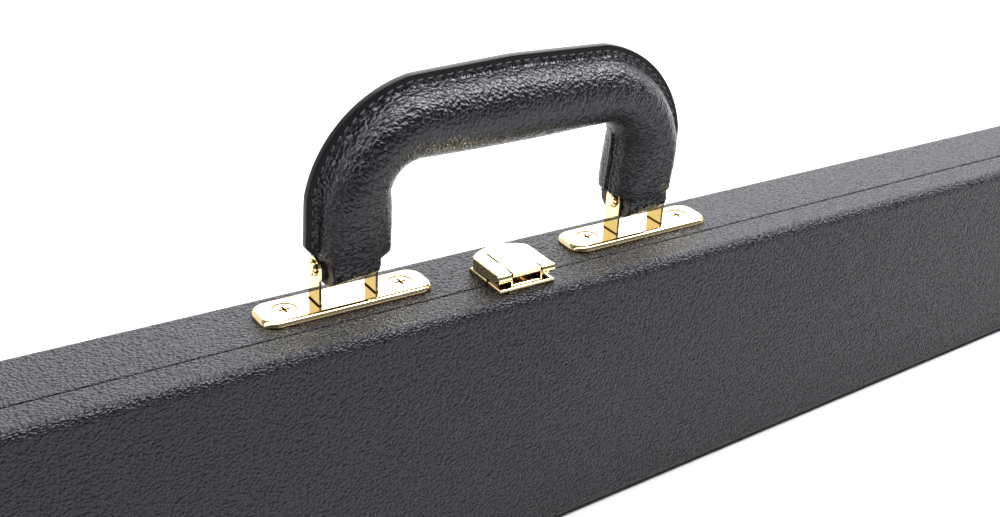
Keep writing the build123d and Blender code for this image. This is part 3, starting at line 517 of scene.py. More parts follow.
GILT = gilt()
HINGE_BRASS = plain_metal("hinge_brass", (0.83, 0.68, 0.40), 0.22)
BAR_STEEL = plain_metal("bar_steel", (0.55, 0.56, 0.58), 0.35)
print("made", [made.name for made in (GILT, HINGE_BRASS, BAR_STEEL)])


# %% [markdown]
# ## Wood, velvet and rubber
# The inside shows when the lid is open: a wine-red velvet lining over pine rails and plywood
# panels, bow rests in the same velvet, and dark wooden turn buttons.


# %% Wood, velvet and rubber
def wood(name, light, dark, along=(9.0, 160.0, 160.0)):
    """Long grain: noise drawn out along the board, mixed from a dark and a light tone."""
    g = Graph(name)
    grain = g.noise(g.place(along), 1.0, 5.0, 0.62)
    pores = g.noise(g.place((120.0, 2600.0, 2600.0)), 1.0, 2.0)
    tone = g.math("MULTIPLY_ADD", pores, 0.25, g.math("MULTIPLY", grain, 0.85), clamp=True)
    normal = g.bump(tone, 0.00006, 0.6)
    return g.finish(g.mix(tone, dark, light), 0.55, normal)


def velvet():
    """Short pile: a soft sheen, brushed patches and a fine fibre bump."""
    g = Graph("velvet")
    brushed = g.noise(g.place(), 35.0, 3.0, 0.6)
    pile = g.noise(g.place(), 3500.0, 2.0)
    colour = g.mix(brushed, (0.085, 0.004, 0.012), (0.17, 0.012, 0.028))
    g.shader.inputs["Sheen Tint"].default_value = (0.85, 0.35, 0.40, 1.0)
    return g.finish(colour, 0.9, g.bump(pile, 0.00012, 0.8), Specular_IOR_Level=0.15,
                    Sheen_Weight=0.7, Sheen_Roughness=0.35)


def rubber():
    """Dark rubber of the bushes, dull with a fine moulded grain."""
    g = Graph("bush_rubber")
    grain = g.noise(g.place(), 1800.0, 2.0)
    return g.finish((0.018, 0.016, 0.014), 0.55, g.bump(grain, 0.00005, 0.5))


def felt():
    """Pressed felt core inside the handle."""
    g = Graph("core_felt")
    fibres = g.noise(g.place(), 900.0, 4.0, 0.7)
    colour = g.mix(fibres, (0.25, 0.21, 0.17), (0.42, 0.37, 0.31))
    return g.finish(colour, 0.95, g.bump(fibres, 0.0002, 0.8))


PINE = wood("pine", (0.66, 0.47, 0.27), (0.40, 0.25, 0.12))
PLYWOOD = wood("plywood", (0.62, 0.45, 0.27), (0.42, 0.28, 0.15), (12.0, 90.0, 90.0))
DARK_WOOD = wood("button_wood", (0.075, 0.036, 0.020), (0.022, 0.010, 0.006), (160.0, 160.0, 12.0))
VELVET, RUBBER, FELT = velvet(), rubber(), felt()
print("made", [made.name for made in (PINE, PLYWOOD, DARK_WOOD, VELVET, RUBBER, FELT)])

# %% [markdown]
# ## Finishes for the model's own nodes
# Every node of the frame gets one of these finishes, chosen by the record's material slot. The
# nodes that a sewn or padded piece stands for later get theirs too.

# %% Give each node its finish
FINISH = {
    "leatherette": LEATHERETTE,
    "plywood": PLYWOOD,
    "pine": PINE,
    "velvet": VELVET,
    "button": DARK_WOOD,
    "hinge_metal": HINGE_BRASS,
    "gilt": GILT,
    "handle_leather": HANDLE_LEATHER,
    "handle_core": FELT,
    "bar_steel": BAR_STEEL,
    "bush": RUBBER,
}
for part in frame["record"]["subparts"]:
    node = frame["nodes"][part["node"]]
    node.data.materials.clear()
    node.data.materials.append(FINISH[part["material_slot"]])

# %% [markdown]
# ## The line of the handle
# The grip is a padded sleeve bent into a square arch. Over the hand it is nearly round; in the
# bends it is squeezed flat in the plane of the arch, because the inside corner is tight and the
# outside corner wide. So each bend is cut by planes through one point near the inside corner,
# and every plane gives a middle and a half thickness. The legs then narrow towards their feet.

# %% Stations along the handle
GRIP_W, GRIP_R, END_R = 58.3, 12.9, 12.3
LEG_U, LEG_R, FOOT_R = 57.5, 12.7, 12.3
FOOT_W, FOOT_B = 18.5, 9.6
INSIDE_R, OUTSIDE_R = 8.0, 41.2
TOP_ROWS, BEND_ROWS, LEG_ROWS = 60, 90, 39
STEP = 0.4


def half_line():
    """From the top of the grip down to a foot: columns of place, outward direction and two half sizes."""
    pivot = np.array([LEG_U - LEG_R - INSIDE_R, GRIP_W - END_R - INSIDE_R])
    centre = np.array([LEG_U + LEG_R - OUTSIDE_R, GRIP_W + END_R - OUTSIDE_R])
    angle = np.linspace(0, math.pi / 2, BEND_ROWS)
    out = np.stack([np.sin(angle), np.cos(angle)], axis=1)
    offset = pivot - centre
    along = out @ offset
    reach = np.sqrt(along ** 2 - offset @ offset + OUTSIDE_R ** 2) - along
    middle = pivot + out * ((reach + INSIDE_R) / 2)[:, None]
    half = (reach - INSIDE_R) / 2
    width = END_R + (LEG_R - 0.2 - END_R) * angle / angle[-1]
    top = np.linspace(0, 1, TOP_ROWS, endpoint=False)[:, None]
    top_place = np.array([0, GRIP_W]) * (1 - top) + middle[0] * top
    top_sizes = GRIP_R + (np.array([half[0], END_R]) - GRIP_R) * top
    leg = np.linspace(0, 1, LEG_ROWS + 1)[1:, None]
    leg_place = middle[-1] * (1 - leg) + np.array([LEG_U, FOOT_W]) * leg
    leg_half = half[-1] + (FOOT_R - half[-1]) * leg
    leg_width = width[-1] + (FOOT_B - width[-1]) * leg ** 1.5
    return np.concatenate([
        np.hstack([top_place, np.tile([0.0, 1.0], (TOP_ROWS, 1)), top_sizes]),
        np.column_stack([middle, out, half, width]),
        np.hstack([leg_place, np.tile([1.0, 0.0], (LEG_ROWS, 1)), leg_half, leg_width]),
    ])


def smooth_rows(values, width):
    """Average of neighbours with a bell-shaped weight, ends held."""
    reach = int(3 * width)
    weight = np.exp(-0.5 * (np.arange(-reach, reach + 1) / width) ** 2)
    weight /= weight.sum()
    padded = np.pad(values, [(reach, reach)] + [(0, 0)] * (values.ndim - 1), mode="edge")
    return np.apply_along_axis(lambda column: np.convolve(column, weight, mode="valid"), 0, padded)


def handle_line():
    """The whole line from the frog foot to the tip foot, evenly stepped and smoothed."""
    half = half_line()
    data = np.concatenate([(half * [-1, 1, -1, 1, 1, 1])[::-1][:-1], half])
    length = lengths(data[:, :2])
    s = np.linspace(0, length[-1], int(length[-1] / STEP))
    data = sample(data, length, s)
    data[:, 2:] = smooth_rows(data[:, 2:], 6)
    data[:, 2:4] /= np.linalg.norm(data[:, 2:4], axis=1, keepdims=True)
    return s, data[:, :2], data[:, 2:4], data[:, 4], data[:, 5]


def lean(places):
    """The handle sits a little towards the tip end: 0.9 mm at the frog leg, 1.4 at the tip leg.

    At the foot of the tip leg the shift is none, and it grows to the full over 18 mm above it.
    """
    u, w = places[:, 0], places[:, 1]
    shift = 0.9 + 0.5 * np.clip((u + LEG_U) / (2 * LEG_U), 0, 1)
    rise = ease(np.clip((w - FOOT_W) / 18.0, 0, 1))
    return places + np.stack([np.where(u > 0, shift * rise, shift), 0 * w], axis=1)


line_s, line_place, line_out, line_half, line_width = handle_line()
line_place = lean(line_place)
print("length of the handle's line in mm:", round(float(line_s[-1]), 1), "stations:", len(line_s))

# %% [markdown]
# ## The leather sleeve
# The sleeve's section is an oval whose outer side runs up, through a small hollow, into the sewn
# fin: there the two edges of the leather meet back to back. The same section is carried along
# the line. On the inner side of each leg the edges of the sleeve meet in an open slit. Creases
# are real displacement: ridges of noise that are long round the sleeve and short along it, and
# stronger in the bends, where the leather is gathered.

# %% Section of the sleeve
FIN_REACH, FIN_HALF, FIN_ROUND = 3.8, 1.5, 0.5
HOLLOW_HIGH, HOLLOW_WIDE = 1.3, 1.5
SLIT_HIGH, SLIT_EASE, SLIT_ANGLE, SLIT_DEPTH = 44.0, 4.0, 0.22, 1.7
LEG_FROM_U, CREASE_HIGH, CREASE_EASE = 50, 50, 12


def section(half, width, slit, power):
    """Closed section: rounded fin tip, fin side, hollow, oval; n is outward and y is across.

    The fin side stands at y = FIN_HALF. The hollow is a curve pulled towards the foot of the fin.
    The oval is |n / half|^power + |y / width|^power = 1: round at 2, squarer at 3.2 near the feet.
    The slit presses the inner side in by a narrow bell, between two lips that stand out a little.
    """
    corner = np.linspace(0, math.pi / 2, 6)
    tip_n = FIN_REACH - FIN_ROUND + FIN_ROUND * np.cos(corner)
    tip_y = FIN_HALF - FIN_ROUND + FIN_ROUND * np.sin(corner)
    tip_n, tip_y = np.append(FIN_REACH, tip_n), np.append(0.0, tip_y)
    side_n = np.linspace(FIN_REACH - 0.7, HOLLOW_HIGH, 7)
    side_y = np.full(7, FIN_HALF)
    start = math.asin(min(0.9, ((FIN_HALF + HOLLOW_WIDE) / width) ** (power / 2)))
    close = math.pi - SLIT_ANGLE * np.linspace(1, 0, 12)[1:] ** 1.3
    t = np.concatenate([np.linspace(start, math.pi - SLIT_ANGLE, 42), close])
    cosine, sine = np.cos(t), np.abs(np.sin(t))
    oval_n = half * np.sign(cosine) * np.abs(cosine) ** (2 / power) - half
    oval_y = width * sine ** (2 / power)
    lips = 0.35 * np.exp(-(((oval_y - 1.4) / 0.7) ** 2))
    dip = SLIT_DEPTH * np.exp(-((oval_y / 0.55) ** 2)) - lips
    oval_n = oval_n + slit * dip * (oval_n < -half)
    p0 = np.array([HOLLOW_HIGH, FIN_HALF])
    p2 = np.array([oval_n[0], oval_y[0]])
    p1 = np.array([oval_n[0] + 0.15, FIN_HALF])
    k = np.linspace(0, 1, 8)[1:-1, None]
    hollow = (1 - k) ** 2 * p0 + 2 * k * (1 - k) * p1 + k ** 2 * p2
    n = np.concatenate([tip_n, side_n, hollow[:, 0], oval_n])
    y = np.concatenate([tip_y, side_y, hollow[:, 1], oval_y])
    return np.concatenate([n, n[-2:0:-1]]), np.concatenate([y, -y[-2:0:-1]])


def sleeve():
    """Sleeve points: middle + outward * (half + n), with y across, and the distance round each section."""
    n_all, y_all = [], []
    for i in range(len(line_s)):
        w = line_place[i, 1]
        in_leg = abs(line_place[i, 0]) > LEG_FROM_U
        slit = float(np.clip((SLIT_HIGH - w) / SLIT_EASE, 0, 1)) if in_leg else 0.0
        power = 2 + 1.2 * float(np.clip((40 - w) / 20, 0, 1))
        n, y = section(line_half[i], line_width[i], slit, power)
        n_all.append(n)
        y_all.append(y)
    n, y = np.array(n_all), np.array(y_all)
    end = np.minimum(line_s, line_s[-1] - line_s)
    fin = np.clip((end - 0.6) / 3.0, 0, 1) ** 0.5
    n = np.where(n > 0, n * fin[:, None], n)
    radial = line_half[:, None] + n
    u = line_place[:, :1] + line_out[:, :1] * radial
    w = line_place[:, 1:] + line_out[:, 1:] * radial
    steps = np.hypot(np.diff(n, axis=1, prepend=n[:, :1]), np.diff(y, axis=1, prepend=y[:, :1]))
    return u, y, w, n, np.cumsum(steps, axis=1)


def creases(s, around, girth, bend):
    """Ridges: 1 - |noise| sharpened, long round the sleeve, deeper where it bends."""
    turns = 9.0
    b = around / girth * turns
    ridge = 1 - np.abs(soft_noise(s / 1.7 + 0.6 * soft_noise(s / 9, b, turns, 3), b, turns, 1))
    fine = 1 - np.abs(soft_noise(s / 0.9, around / girth * 22, 22, 2))
    swell = soft_noise(s / 14, around / girth * 4, 4, 5)
    return (ridge ** 3 - 0.3) * (0.05 + 0.13 * bend) + (fine ** 2 - 0.4) * 0.05 + swell * 0.16


sleeve_u, sleeve_y, sleeve_w, sleeve_n, sleeve_t = sleeve()
points = on_slope(sleeve_u, sleeve_y + MOUNT_Y, sleeve_w)
girth = sleeve_t.max(axis=1, keepdims=True)
turning = np.linalg.norm(np.gradient(line_out, axis=0), axis=1)
bend = smooth_rows(np.clip(turning / turning.max() * 1.4, 0, 1), 12)
leg = np.clip((CREASE_HIGH - line_place[:, 1]) / CREASE_EASE, 0, 1)
amount = np.maximum(bend, 0.55 * leg)[:, None]
skin_only = np.clip((0.6 - sleeve_n) / 1.5, 0, 1)
from_foot = np.minimum(line_s, line_s[-1] - line_s)[:, None]
press = creases(line_s[:, None] + 0 * sleeve_t, sleeve_t, girth, amount)
press = press * skin_only * np.clip(from_foot / 3.0, 0, 1)
normals = grid_normals(points)
middle = on_slope(line_place[:, :1], MOUNT_Y, line_place[:, 1:])
facing = np.sign(np.sum(normals * (points - middle), axis=-1).mean())
points = points + normals * facing * press[..., None] * mm
uv = np.stack([line_s[:, None] + 0 * sleeve_t, sleeve_t], axis=-1)
print("sleeve grid:", points.shape[:2], "largest crease in mm:", round(float(np.abs(press).max()), 2))

# %% [markdown]
# ## The feet of the sleeve
# Below the legs only a narrow band of leather goes round the pin. So each foot is closed by a
# slanted step: the last ring is drawn in towards the band, then down to a middle point.

# %% Close the feet
LOOP_HALF_WIDTH = 8.2
LOOP_CENTRE = {-1: -58.4, 1: 57.9}
FOOT_STEPS = ((0.07, 0.12), (0.2, 0.3), (0.45, 0.5), (0.75, 0.75), (1.0, 1.0))
FOOT_DROP, FOOT_SLANT = 1.0, 1.3


def foot_rows(end, side):
    """Rings under one foot: its near and far faces run on, its sides are drawn in to the band.

    FOOT_STEPS holds, ring by ring, the share of the way across and the share of the way down.
    """
    u, y, w = sleeve_u[end], sleeve_y[end], sleeve_w[end]
    centre = LOOP_CENTRE[side]
    inward = np.clip(-(u - centre) * side / 13.0, 0, 1)
    beyond = np.clip((np.abs(u - centre) - LOOP_HALF_WIDTH + 1.5) / 1.5, 0, 1)
    target_u = centre + np.clip(u - centre, -LOOP_HALF_WIDTH + 0.2, LOOP_HALF_WIDTH - 0.2)
    target_y = y * (0.99 - 0.05 * beyond)
    target_w = w - FOOT_DROP - FOOT_SLANT * inward
    rings = []
    for pull, drop in FOOT_STEPS:
        ring = [u + (target_u - u) * pull, y + (target_y - y) * pull, w + (target_w - w) * drop]
        rings.append(np.stack(ring, axis=1))
    rings.append(np.tile([centre, 0.0, target_w.mean()], (len(u), 1)))
    rings = np.array(rings)
    return on_slope(rings[..., 0], rings[..., 1] + MOUNT_Y, rings[..., 2])


points = np.concatenate([foot_rows(0, -1)[::-1], points, foot_rows(-1, 1)])
below = np.arange(1, len(FOOT_STEPS) + 2)[:, None, None] * np.array([0.7, 0.0])
uv = np.concatenate([uv[:1] - below[::-1], uv, uv[-1:] + below])
faces = grid_faces(*points.shape[:2], close_columns=True)
print("triangles in the sleeve:", 2 * len(faces))

# %% Sleeve mesh
FIN_COLUMNS = 13
column = faces[:, 0] % points.shape[1]
on_fin = (column < FIN_COLUMNS) | (column >= points.shape[1] - FIN_COLUMNS)
sleeve_piece = mesh_piece("handle_sleeve", points, faces, "handle",
                          [HANDLE_LEATHER, PAINTED_EDGE], uv, flip=facing < 0, second=on_fin)
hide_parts("handle_cover", "handle_core_near", "handle_core_far")
print("made", sleeve_piece.name, "with", int(on_fin.sum()), "faces of painted edge")

# %% [markdown]
# ## The loops round the pins
# A band of the same leather goes down from each leg, round the bush and up again. From the side
# its cut edge shows: brown-grey fibres round a dark hollow with the bush in it. The band's
# outline is a D with its flat side up, its surface one closed grid: along the outline and round
# the band's own section.

# %% Loops
BAND = 2.1
LOOP_TOP, LOOP_TOP_HALF = 18.4, 9.5
LOOP_SIDE_HALF, LOOP_BOTTOM = 9.0, 8.1
LOOP_RISE, LOOP_ROUND, LOOP_POINTS = 1.6, 0.45, 120
LEG_OVAL, SQUEEZE_LOW, SQUEEZE_HIGH = 3.2, 11.0, 18.5
RISE_HIGH, RISE_EASE = 15.0, 5.0


def loop_outline():
    """The D: flat top, sides easing from 9.5 to 9.0, a half ellipse below; with inward directions."""
    angle = np.linspace(0, math.pi, 61)
    y = LOOP_SIDE_HALF * np.cos(angle)
    w = PIVOT_W - (PIVOT_W - LOOP_BOTTOM) * np.sin(angle) ** 0.8
    rise = np.linspace(0, 1, 12)[1:]
    side_y = LOOP_SIDE_HALF + (LOOP_TOP_HALF - LOOP_SIDE_HALF) * rise ** 1.5
    side_w = PIVOT_W + (LOOP_TOP - PIVOT_W) * rise
    top_y = np.linspace(-1, 1, 16)[1:] * LOOP_TOP_HALF
    path_y = np.concatenate([side_y[::-1], y, -side_y, top_y])
    path_w = np.concatenate([side_w[::-1], w, side_w, np.full(15, LOOP_TOP)])
    path = np.stack([path_y, path_w], axis=1)
    length = lengths(path)
    s = np.linspace(0, length[-1], LOOP_POINTS, endpoint=False)
    line = sample(path, length, s)
    normal = sideways(line)
    return s, line, normal * np.sign((([0, PIVOT_W] - line) * normal).sum())


def leather_loop(name, side):
    """Band section in (a, depth): cut side, small rounding, face, rounding, cut side, inside."""
    s, line, inward = loop_outline()
    corner = np.linspace(0, math.pi / 2, 5)
    half = LOOP_HALF_WIDTH
    left_a = np.concatenate([[-half, -half], -half + LOOP_ROUND - LOOP_ROUND * np.cos(corner)])
    left_d = np.concatenate([[BAND, BAND * 0.6], LOOP_ROUND - LOOP_ROUND * np.sin(corner)])
    face_a = np.linspace(-half + LOOP_ROUND, half - LOOP_ROUND, 24)[1:-1]
    a = np.concatenate([left_a, face_a, -left_a[::-1]])
    depth = np.concatenate([left_d, np.zeros(22), left_d[::-1]])
    layers = 1 + 1.1 * np.clip(np.abs(line[:, :1]) / LOOP_SIDE_HALF, 0, 1) ** 3
    y = line[:, :1] + inward[:, :1] * depth * layers
    w = line[:, 1:] + inward[:, 1:] * depth * layers
    leg_middle = line_place[0 if side < 0 else -1, 0]
    from_leg = np.abs((a + LOOP_CENTRE[side] - leg_middle) / FOOT_R)
    squeeze = (1 - np.clip(from_leg, 0, 0.98) ** LEG_OVAL) ** (1 / LEG_OVAL)
    upward = ease(np.clip((w - SQUEEZE_LOW) / (SQUEEZE_HIGH - SQUEEZE_LOW), 0, 1))
    y = y * (1 + (squeeze - 1) * upward)
    y = y + inward[:, :1] * 0.10 * soft_noise(s[:, None] / 2.2, (a + half) / 3.0, 8, 11 + side)
    w = w + LOOP_RISE * (a / half + 1) / 2 * np.clip((RISE_HIGH - w) / RISE_EASE, 0, 1)
    grid = on_slope(a + LOOP_CENTRE[side] + 0 * y, y + MOUNT_Y, w)
    loop_uv = np.stack([a + 0 * y, s[:, None] + 0 * y], axis=-1)
    loop_faces = grid_faces(*y.shape, close_rows=True, close_columns=True)
    column = loop_faces[:, 0] % len(a)
    cut = (column < 2) | (column >= len(a) - 3)
    return mesh_piece(name, grid, loop_faces, "handle",
                      [HANDLE_LEATHER, RAW_EDGE], loop_uv, second=cut)


loops = [leather_loop("handle_loop_frog", -1), leather_loop("handle_loop_tip", 1)]
print("loops:", [loop.name for loop in loops])

# %% [markdown]
# ## The stitches
# A row of stitches closes the sleeve along the foot of the fin, on both of its sides. They are
# placed at equal distances along the seam itself, because the seam is longer than the handle's
# middle line in the bends. Each stitch is a short thread whose ends dip into the leather.

# %% Stitches
PITCH, STITCH, THREAD_R = 3.6, 2.5, 0.30
SEAM_N, SEAM_START, SEAM_END = 1.75, 4.5, 4.0


def stitches():
    """Threads as bent rods: height h = 0.16 - 0.5 |k|^4, radius shrinking at both ends."""
    seam = line_place + line_out * (line_half + SEAM_N)[:, None]
    length = lengths(seam)
    centres = np.arange(SEAM_START, length[-1] - SEAM_END, PITCH)
    k = np.linspace(-1, 1, 9)
    at = centres[:, None] + k * STITCH / 2
    out = sample(line_out, length, at)
    base = sample(seam, length, at) + out * (0.10 * k)[:, None]
    turn = np.linspace(0, 2 * math.pi, 8, endpoint=False)
    radius = (THREAD_R * np.sqrt(1 - 0.85 * np.abs(k) ** 5))[:, None]
    height = (0.16 - 0.5 * k ** 4)[:, None]
    u = base[..., :1] + out[..., :1] * (radius * np.cos(turn))
    w = base[..., 1:] + out[..., 1:] * (radius * np.cos(turn))
    sides = [side * (FIN_HALF + height) + radius * np.sin(turn) + MOUNT_Y for side in (-1, 1)]
    grid = np.concatenate([on_slope(u, y, w) for y in sides])
    rod = grid_faces(len(k), len(turn), close_columns=True)
    first = np.arange(len(grid)) * len(k) * len(turn)
    return grid, (rod + first[:, None, None]).reshape(-1, 4), len(centres)


stitch_points, stitch_faces, stitch_count = stitches()
mesh_piece("handle_stitches", stitch_points, stitch_faces, "handle", [THREAD])
print("stitches on each side of the fin:", stitch_count)

# %% [markdown]
# ## The velvet inside
# Each half is lined with velvet on thin padded card: a shallow tray with soft corners. It is one
# closed surface of rings, from the middle of the tray's back out to its edge, up the wall, over
# the rim, down the inside and along the floor to the middle again. Cloth simulation would add
# little here, because the velvet is glued down, so its softness is a slow unevenness of the floor.

# %% Outline of a tray
TRAY_CORNER = 5.0
TRAY_COUNTS = (120, 16, 120, 16)


def tray_outline(node):
    """Outline in (x, z) from the node's box: the top edge falls by the slope, corners are parabolas."""
    low, high = box_in_mm(node)
    fall = (high[0] - low[0]) * math.tan(SLOPE)
    corners = np.array([[low[0], low[2]], [high[0], low[2]], [high[0], high[2] - fall], [low[0], high[2]]])
    k = np.linspace(0, 1, 9)[:-1, None]
    pieces = []
    for i, count in enumerate(TRAY_COUNTS):
        here, ahead, after = corners[i], corners[(i + 1) % 4], corners[(i + 2) % 4]
        back_off = (ahead - here) / np.linalg.norm(ahead - here) * TRAY_CORNER
        start, stop = here + back_off, ahead - back_off
        leave = ahead + (after - ahead) / np.linalg.norm(after - ahead) * TRAY_CORNER
        pieces.append(start + (stop - start) * np.linspace(0, 1, count, endpoint=False)[:, None])
        pieces.append((1 - k) ** 2 * stop + 2 * k * (1 - k) * ahead + k ** 2 * leave)
    return np.concatenate(pieces), corners


def outward_flip(points, faces):
    """Whether faces must be turned round: the sign of the volume, a sum of p0 . (p1 x p2)."""
    a, b, c, d = np.moveaxis(points.reshape(-1, 3)[faces], 1, 0)
    return float((a * (np.cross(b, c) + np.cross(c, d))).sum()) < 0


# %% Trays
TRAY_SHEET, TRAY_ROUND, SKIN_GAP = 1.0, 2.5, 0.04
BACK_EDGE = np.array([(1.2, SKIN_GAP), (0.4, 0.12), (SKIN_GAP, 0.7)])
RIM_EDGE = np.array([(SKIN_GAP, 0.8), (0.14, 0.28), (0.42, SKIN_GAP), (0.70, 0.16), (0.90, 0.6)])


def tray(name, node, body, opening):
    """Rings at (inset, depth under the rim); opening is the sign of y on the tray's open side.

    BACK_EDGE holds (inset, height above the back) and RIM_EDGE holds (inset, depth under the rim).
    """
    outline, corners = tray_outline(node)
    low, high = box_in_mm(node)
    rim, deep = (low[1] if opening < 0 else high[1]), high[1] - low[1]
    angle = np.linspace(0, math.pi / 2, 7)
    wall = np.linspace(1.4, deep - TRAY_SHEET - TRAY_ROUND, 5)
    inset = np.concatenate([BACK_EDGE[:, 0], [SKIN_GAP], RIM_EDGE[:, 0], np.full(5, TRAY_SHEET),
                            TRAY_SHEET + TRAY_ROUND * (1 - np.cos(angle))])
    depth = np.concatenate([deep - BACK_EDGE[:, 1], [deep / 2], RIM_EDGE[:, 1], wall,
                            deep - TRAY_SHEET - TRAY_ROUND * (1 - np.sin(angle))])
    rings = outline + sideways(outline) * inset[:, None, None]
    edge = rings[-1]
    half_height = (corners[2, 1] - corners[1, 1]) / 2
    middle_x = np.clip(edge[:, 0], low[0] + half_height, high[0] - half_height)
    top = high[2] - (middle_x - low[0]) * math.tan(SLOPE)
    middle = np.stack([middle_x, (low[2] + top) / 2], axis=1)
    k = np.linspace(0, 1, 15)[1:, None, None]
    floor_rings = edge + (middle - edge) * k
    swell = soft_noise(floor_rings[..., 0] / 34, floor_rings[..., 1] / 21, 400, 21)
    sunk = (0.22 + 0.22 * swell) * np.clip(k[..., 0] * 3, 0, 1)
    back_rings = rings[0] + (middle - rings[0]) * np.array([1.0, 0.5])[:, None, None]
    grid = np.concatenate([back_rings, rings, floor_rings])
    even = np.concatenate([np.full(2, deep - SKIN_GAP), depth])[:, None]
    depths = np.concatenate([even + 0 * sunk[0], deep - TRAY_SHEET + sunk])
    points = np.stack([grid[..., 0], rim - opening * depths, grid[..., 1]], axis=-1) * mm
    faces = grid_faces(*depths.shape, close_columns=True)
    piece = mesh_piece(name, points, faces, body, [VELVET], flip=outward_flip(points, faces))
    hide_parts(node)
    print(name, "rings:", len(points), "triangles:", 2 * len(faces))


tray("base_velvet", "base_lining", "base", -1)
tray("lid_velvet", "lid_lining", "lid", 1)

# %% [markdown]
# ## The bow rests
# Each rest is a block of felt-padded wood in velvet, with a round notch for the stick. Its outline
# is drawn with sharp corners first and then averaged along itself, which is what cloth over
# padding does to an edge: corners grow round and the lips of the notch soften.

# %% Rests
REST_ROUND, NOTCH, REST_SPINE = 2.2, 7.0, 2.5
REST_POINTS, WRAP = 260, 20


def rest(name, node, body):
    """Outline in (y, z) with a half-round notch, smoothed, carried along x, drawn in at both ends."""
    low, high = box_in_mm(node)
    angle = np.linspace(-math.pi / 2, math.pi / 2, 40)
    turn = np.stack([np.cos(angle), np.sin(angle)], axis=1)
    notch = [low[1], (low[2] + high[2]) / 2] + NOTCH * turn
    first = [low[1], low[2]]
    path = np.array([first, *notch, [low[1], high[2]], [high[1], high[2]], [high[1], low[2]], first])
    length = lengths(path)
    s = np.linspace(0, length[-1], REST_POINTS, endpoint=False)
    outline = sample(path, length, s)
    outline = np.concatenate([outline[-WRAP:], outline, outline[:WRAP]])
    outline = smooth_rows(outline, 2.6)[WRAP:-WRAP]
    outline[:, 0] = np.maximum(outline[:, 0], low[1] + SKIN_GAP)
    inward = sideways(outline)
    inward *= np.sign(((outline.mean(axis=0) + [3.0, 0.0] - outline) * inward).sum())
    half = (high[0] - low[0]) / 2 - SKIN_GAP
    x = half * np.sin(np.linspace(-math.pi / 2, math.pi / 2, 41))
    past = np.clip((np.abs(x) - half + REST_ROUND) / REST_ROUND, 0, 1)
    drawn = REST_ROUND * (1 - np.sqrt(1 - past ** 2))
    soft = 0.10 * (1 + soft_noise(x[:, None] / 9 + 40, s / length[-1] * 14, 14, 31))
    rings = outline + inward * (drawn[:, None] + soft)[..., None]
    spine = np.stack([np.full(len(outline), high[1] - REST_SPINE), outline[:, 1]], axis=1)
    shares = np.array([0.25, 0.6, 1.0])[:, None, None]
    near, far = (end + (spine - end) * shares for end in (rings[0], rings[-1]))
    grid = np.concatenate([near[::-1], rings, far])
    places = np.pad(x, 3, mode="edge") + (low[0] + high[0]) / 2
    points = np.stack([places[:, None] + 0 * grid[..., 0], grid[..., 0], grid[..., 1]], axis=-1) * mm
    faces = grid_faces(*points.shape[:2], close_columns=True)
    piece = mesh_piece(name, points, faces, body, [VELVET], flip=outward_flip(points, faces))
    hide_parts(node)
    return piece


rests = [rest("frog_rest_velvet", "frog_rest", "base"), rest("tip_rest_velvet", "tip_rest", "base")]
print("rests:", [piece.name for piece in rests])

# %% [markdown]
# ## The floor and the light
# The photograph is a bright studio picture on a white ground. Its metal shows the room: a bright
# wall behind, one long light overhead, and darkness between them and behind the camera. So the
# room is given by its brightness at each angle from the back floor over the top to the front,
# times a second one from the left to the right, because a lamp also ends at its sides. Bright and
# dark bands side by side are what makes gilt look like gilt and grain show on black. Seen
# directly, past the end of the floor, the room is a plain white wall from every side.

# %% Stage
floor_data = bpy.data.meshes.new("floor")
floor_data.from_pydata([(-6, -6, 0), (6, -6, 0), (6, 6, 0), (-6, 6, 0)], [], [(0, 1, 2, 3)])
floor_data.materials.append(Graph("white_paper").finish((0.58, 0.58, 0.58), 0.8))
floor = bpy.data.objects.new("floor", floor_data)
bpy.context.scene.collection.objects.link(floor)

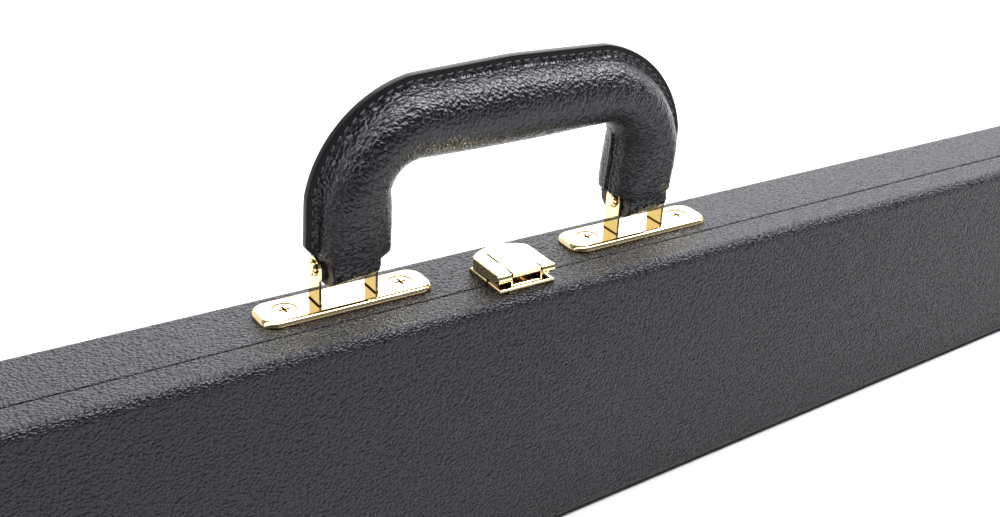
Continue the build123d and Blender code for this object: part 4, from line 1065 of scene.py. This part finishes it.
ROOM = [(0, 2.2), (44, 2.2), (50, 0.6), (73, 0.6), (78, 10.5), (108, 10.5), (114, 0.2), (180, 0.2)]
SIDES = [(-1.0, 0.45), (-0.15, 0.45), (0.10, 1.0), (0.78, 1.0), (0.90, 0.5), (1.0, 0.5)]


def studio():
    """The room: brightness by the angle from the back floor over the top, times one from left to right."""
    g = Graph("studio", world=True)
    split = g.add("SeparateXYZ", {0: g.add("TexCoord").outputs["Generated"]})
    angle = g.math("ARCTAN2", split.outputs["Z"], split.outputs["Y"])
    brightest = max(level for _, level in ROOM)
    room = []
    for degrees, level in ROOM:
        share = level / brightest
        room.append((degrees / 180.0, (share * 0.97, share * 0.98, share, 1.0)))
    sides = [((place + 1) / 2, (level, level, level, 1.0)) for place, level in SIDES]
    over = g.stops(g.math("DIVIDE", angle, math.pi), room)
    beside = g.stops(g.math("MULTIPLY_ADD", split.outputs["X"], 0.5, 0.5), sides)
    both = g.add("VectorMath", {0: over, 1: beside}, operation="MULTIPLY")
    g.link(both.outputs[0], g.shader.inputs["Color"])
    g.shader.inputs["Strength"].default_value = brightest
    wall = g.add("Background", Color=(1.0, 1.0, 1.0, 1.0)).outputs[0]
    seen = g.add("LightPath").outputs["Is Camera Ray"]
    surface = g.add("MixShader", {0: seen, 1: g.shader.outputs[0], 2: wall}).outputs[0]
    g.link(surface, g.tree.nodes["World Output"].inputs["Surface"])
    bpy.context.scene.world = g.owner


def softbox(name, place, target, size, power):
    """A large flat lamp at a place, aimed at a target."""
    lamp = bpy.data.lights.new(name, "AREA")
    lamp.shape = "RECTANGLE"
    lamp.size, lamp.size_y = size
    lamp.energy = power
    holder = bpy.data.objects.new(name, lamp)
    turn = (Vector(target) - Vector(place)).to_track_quat("-Z", "Y").to_matrix().to_4x4()
    holder.matrix_world = Matrix.Translation(place) @ turn
    bpy.context.scene.collection.objects.link(holder)


studio()
softbox("back", (0.9, 1.5, 1.1), (0.0, 0.0, 0.1), (1.9, 1.2), 11.0)
softbox("key", (0.75, -0.25, 1.3), (0.02, 0.0, 0.12), (0.4, 0.2), 6.0)
bpy.context.scene.view_settings.view_transform = "Standard"
print("lamps:", [item.name for item in bpy.data.lights])
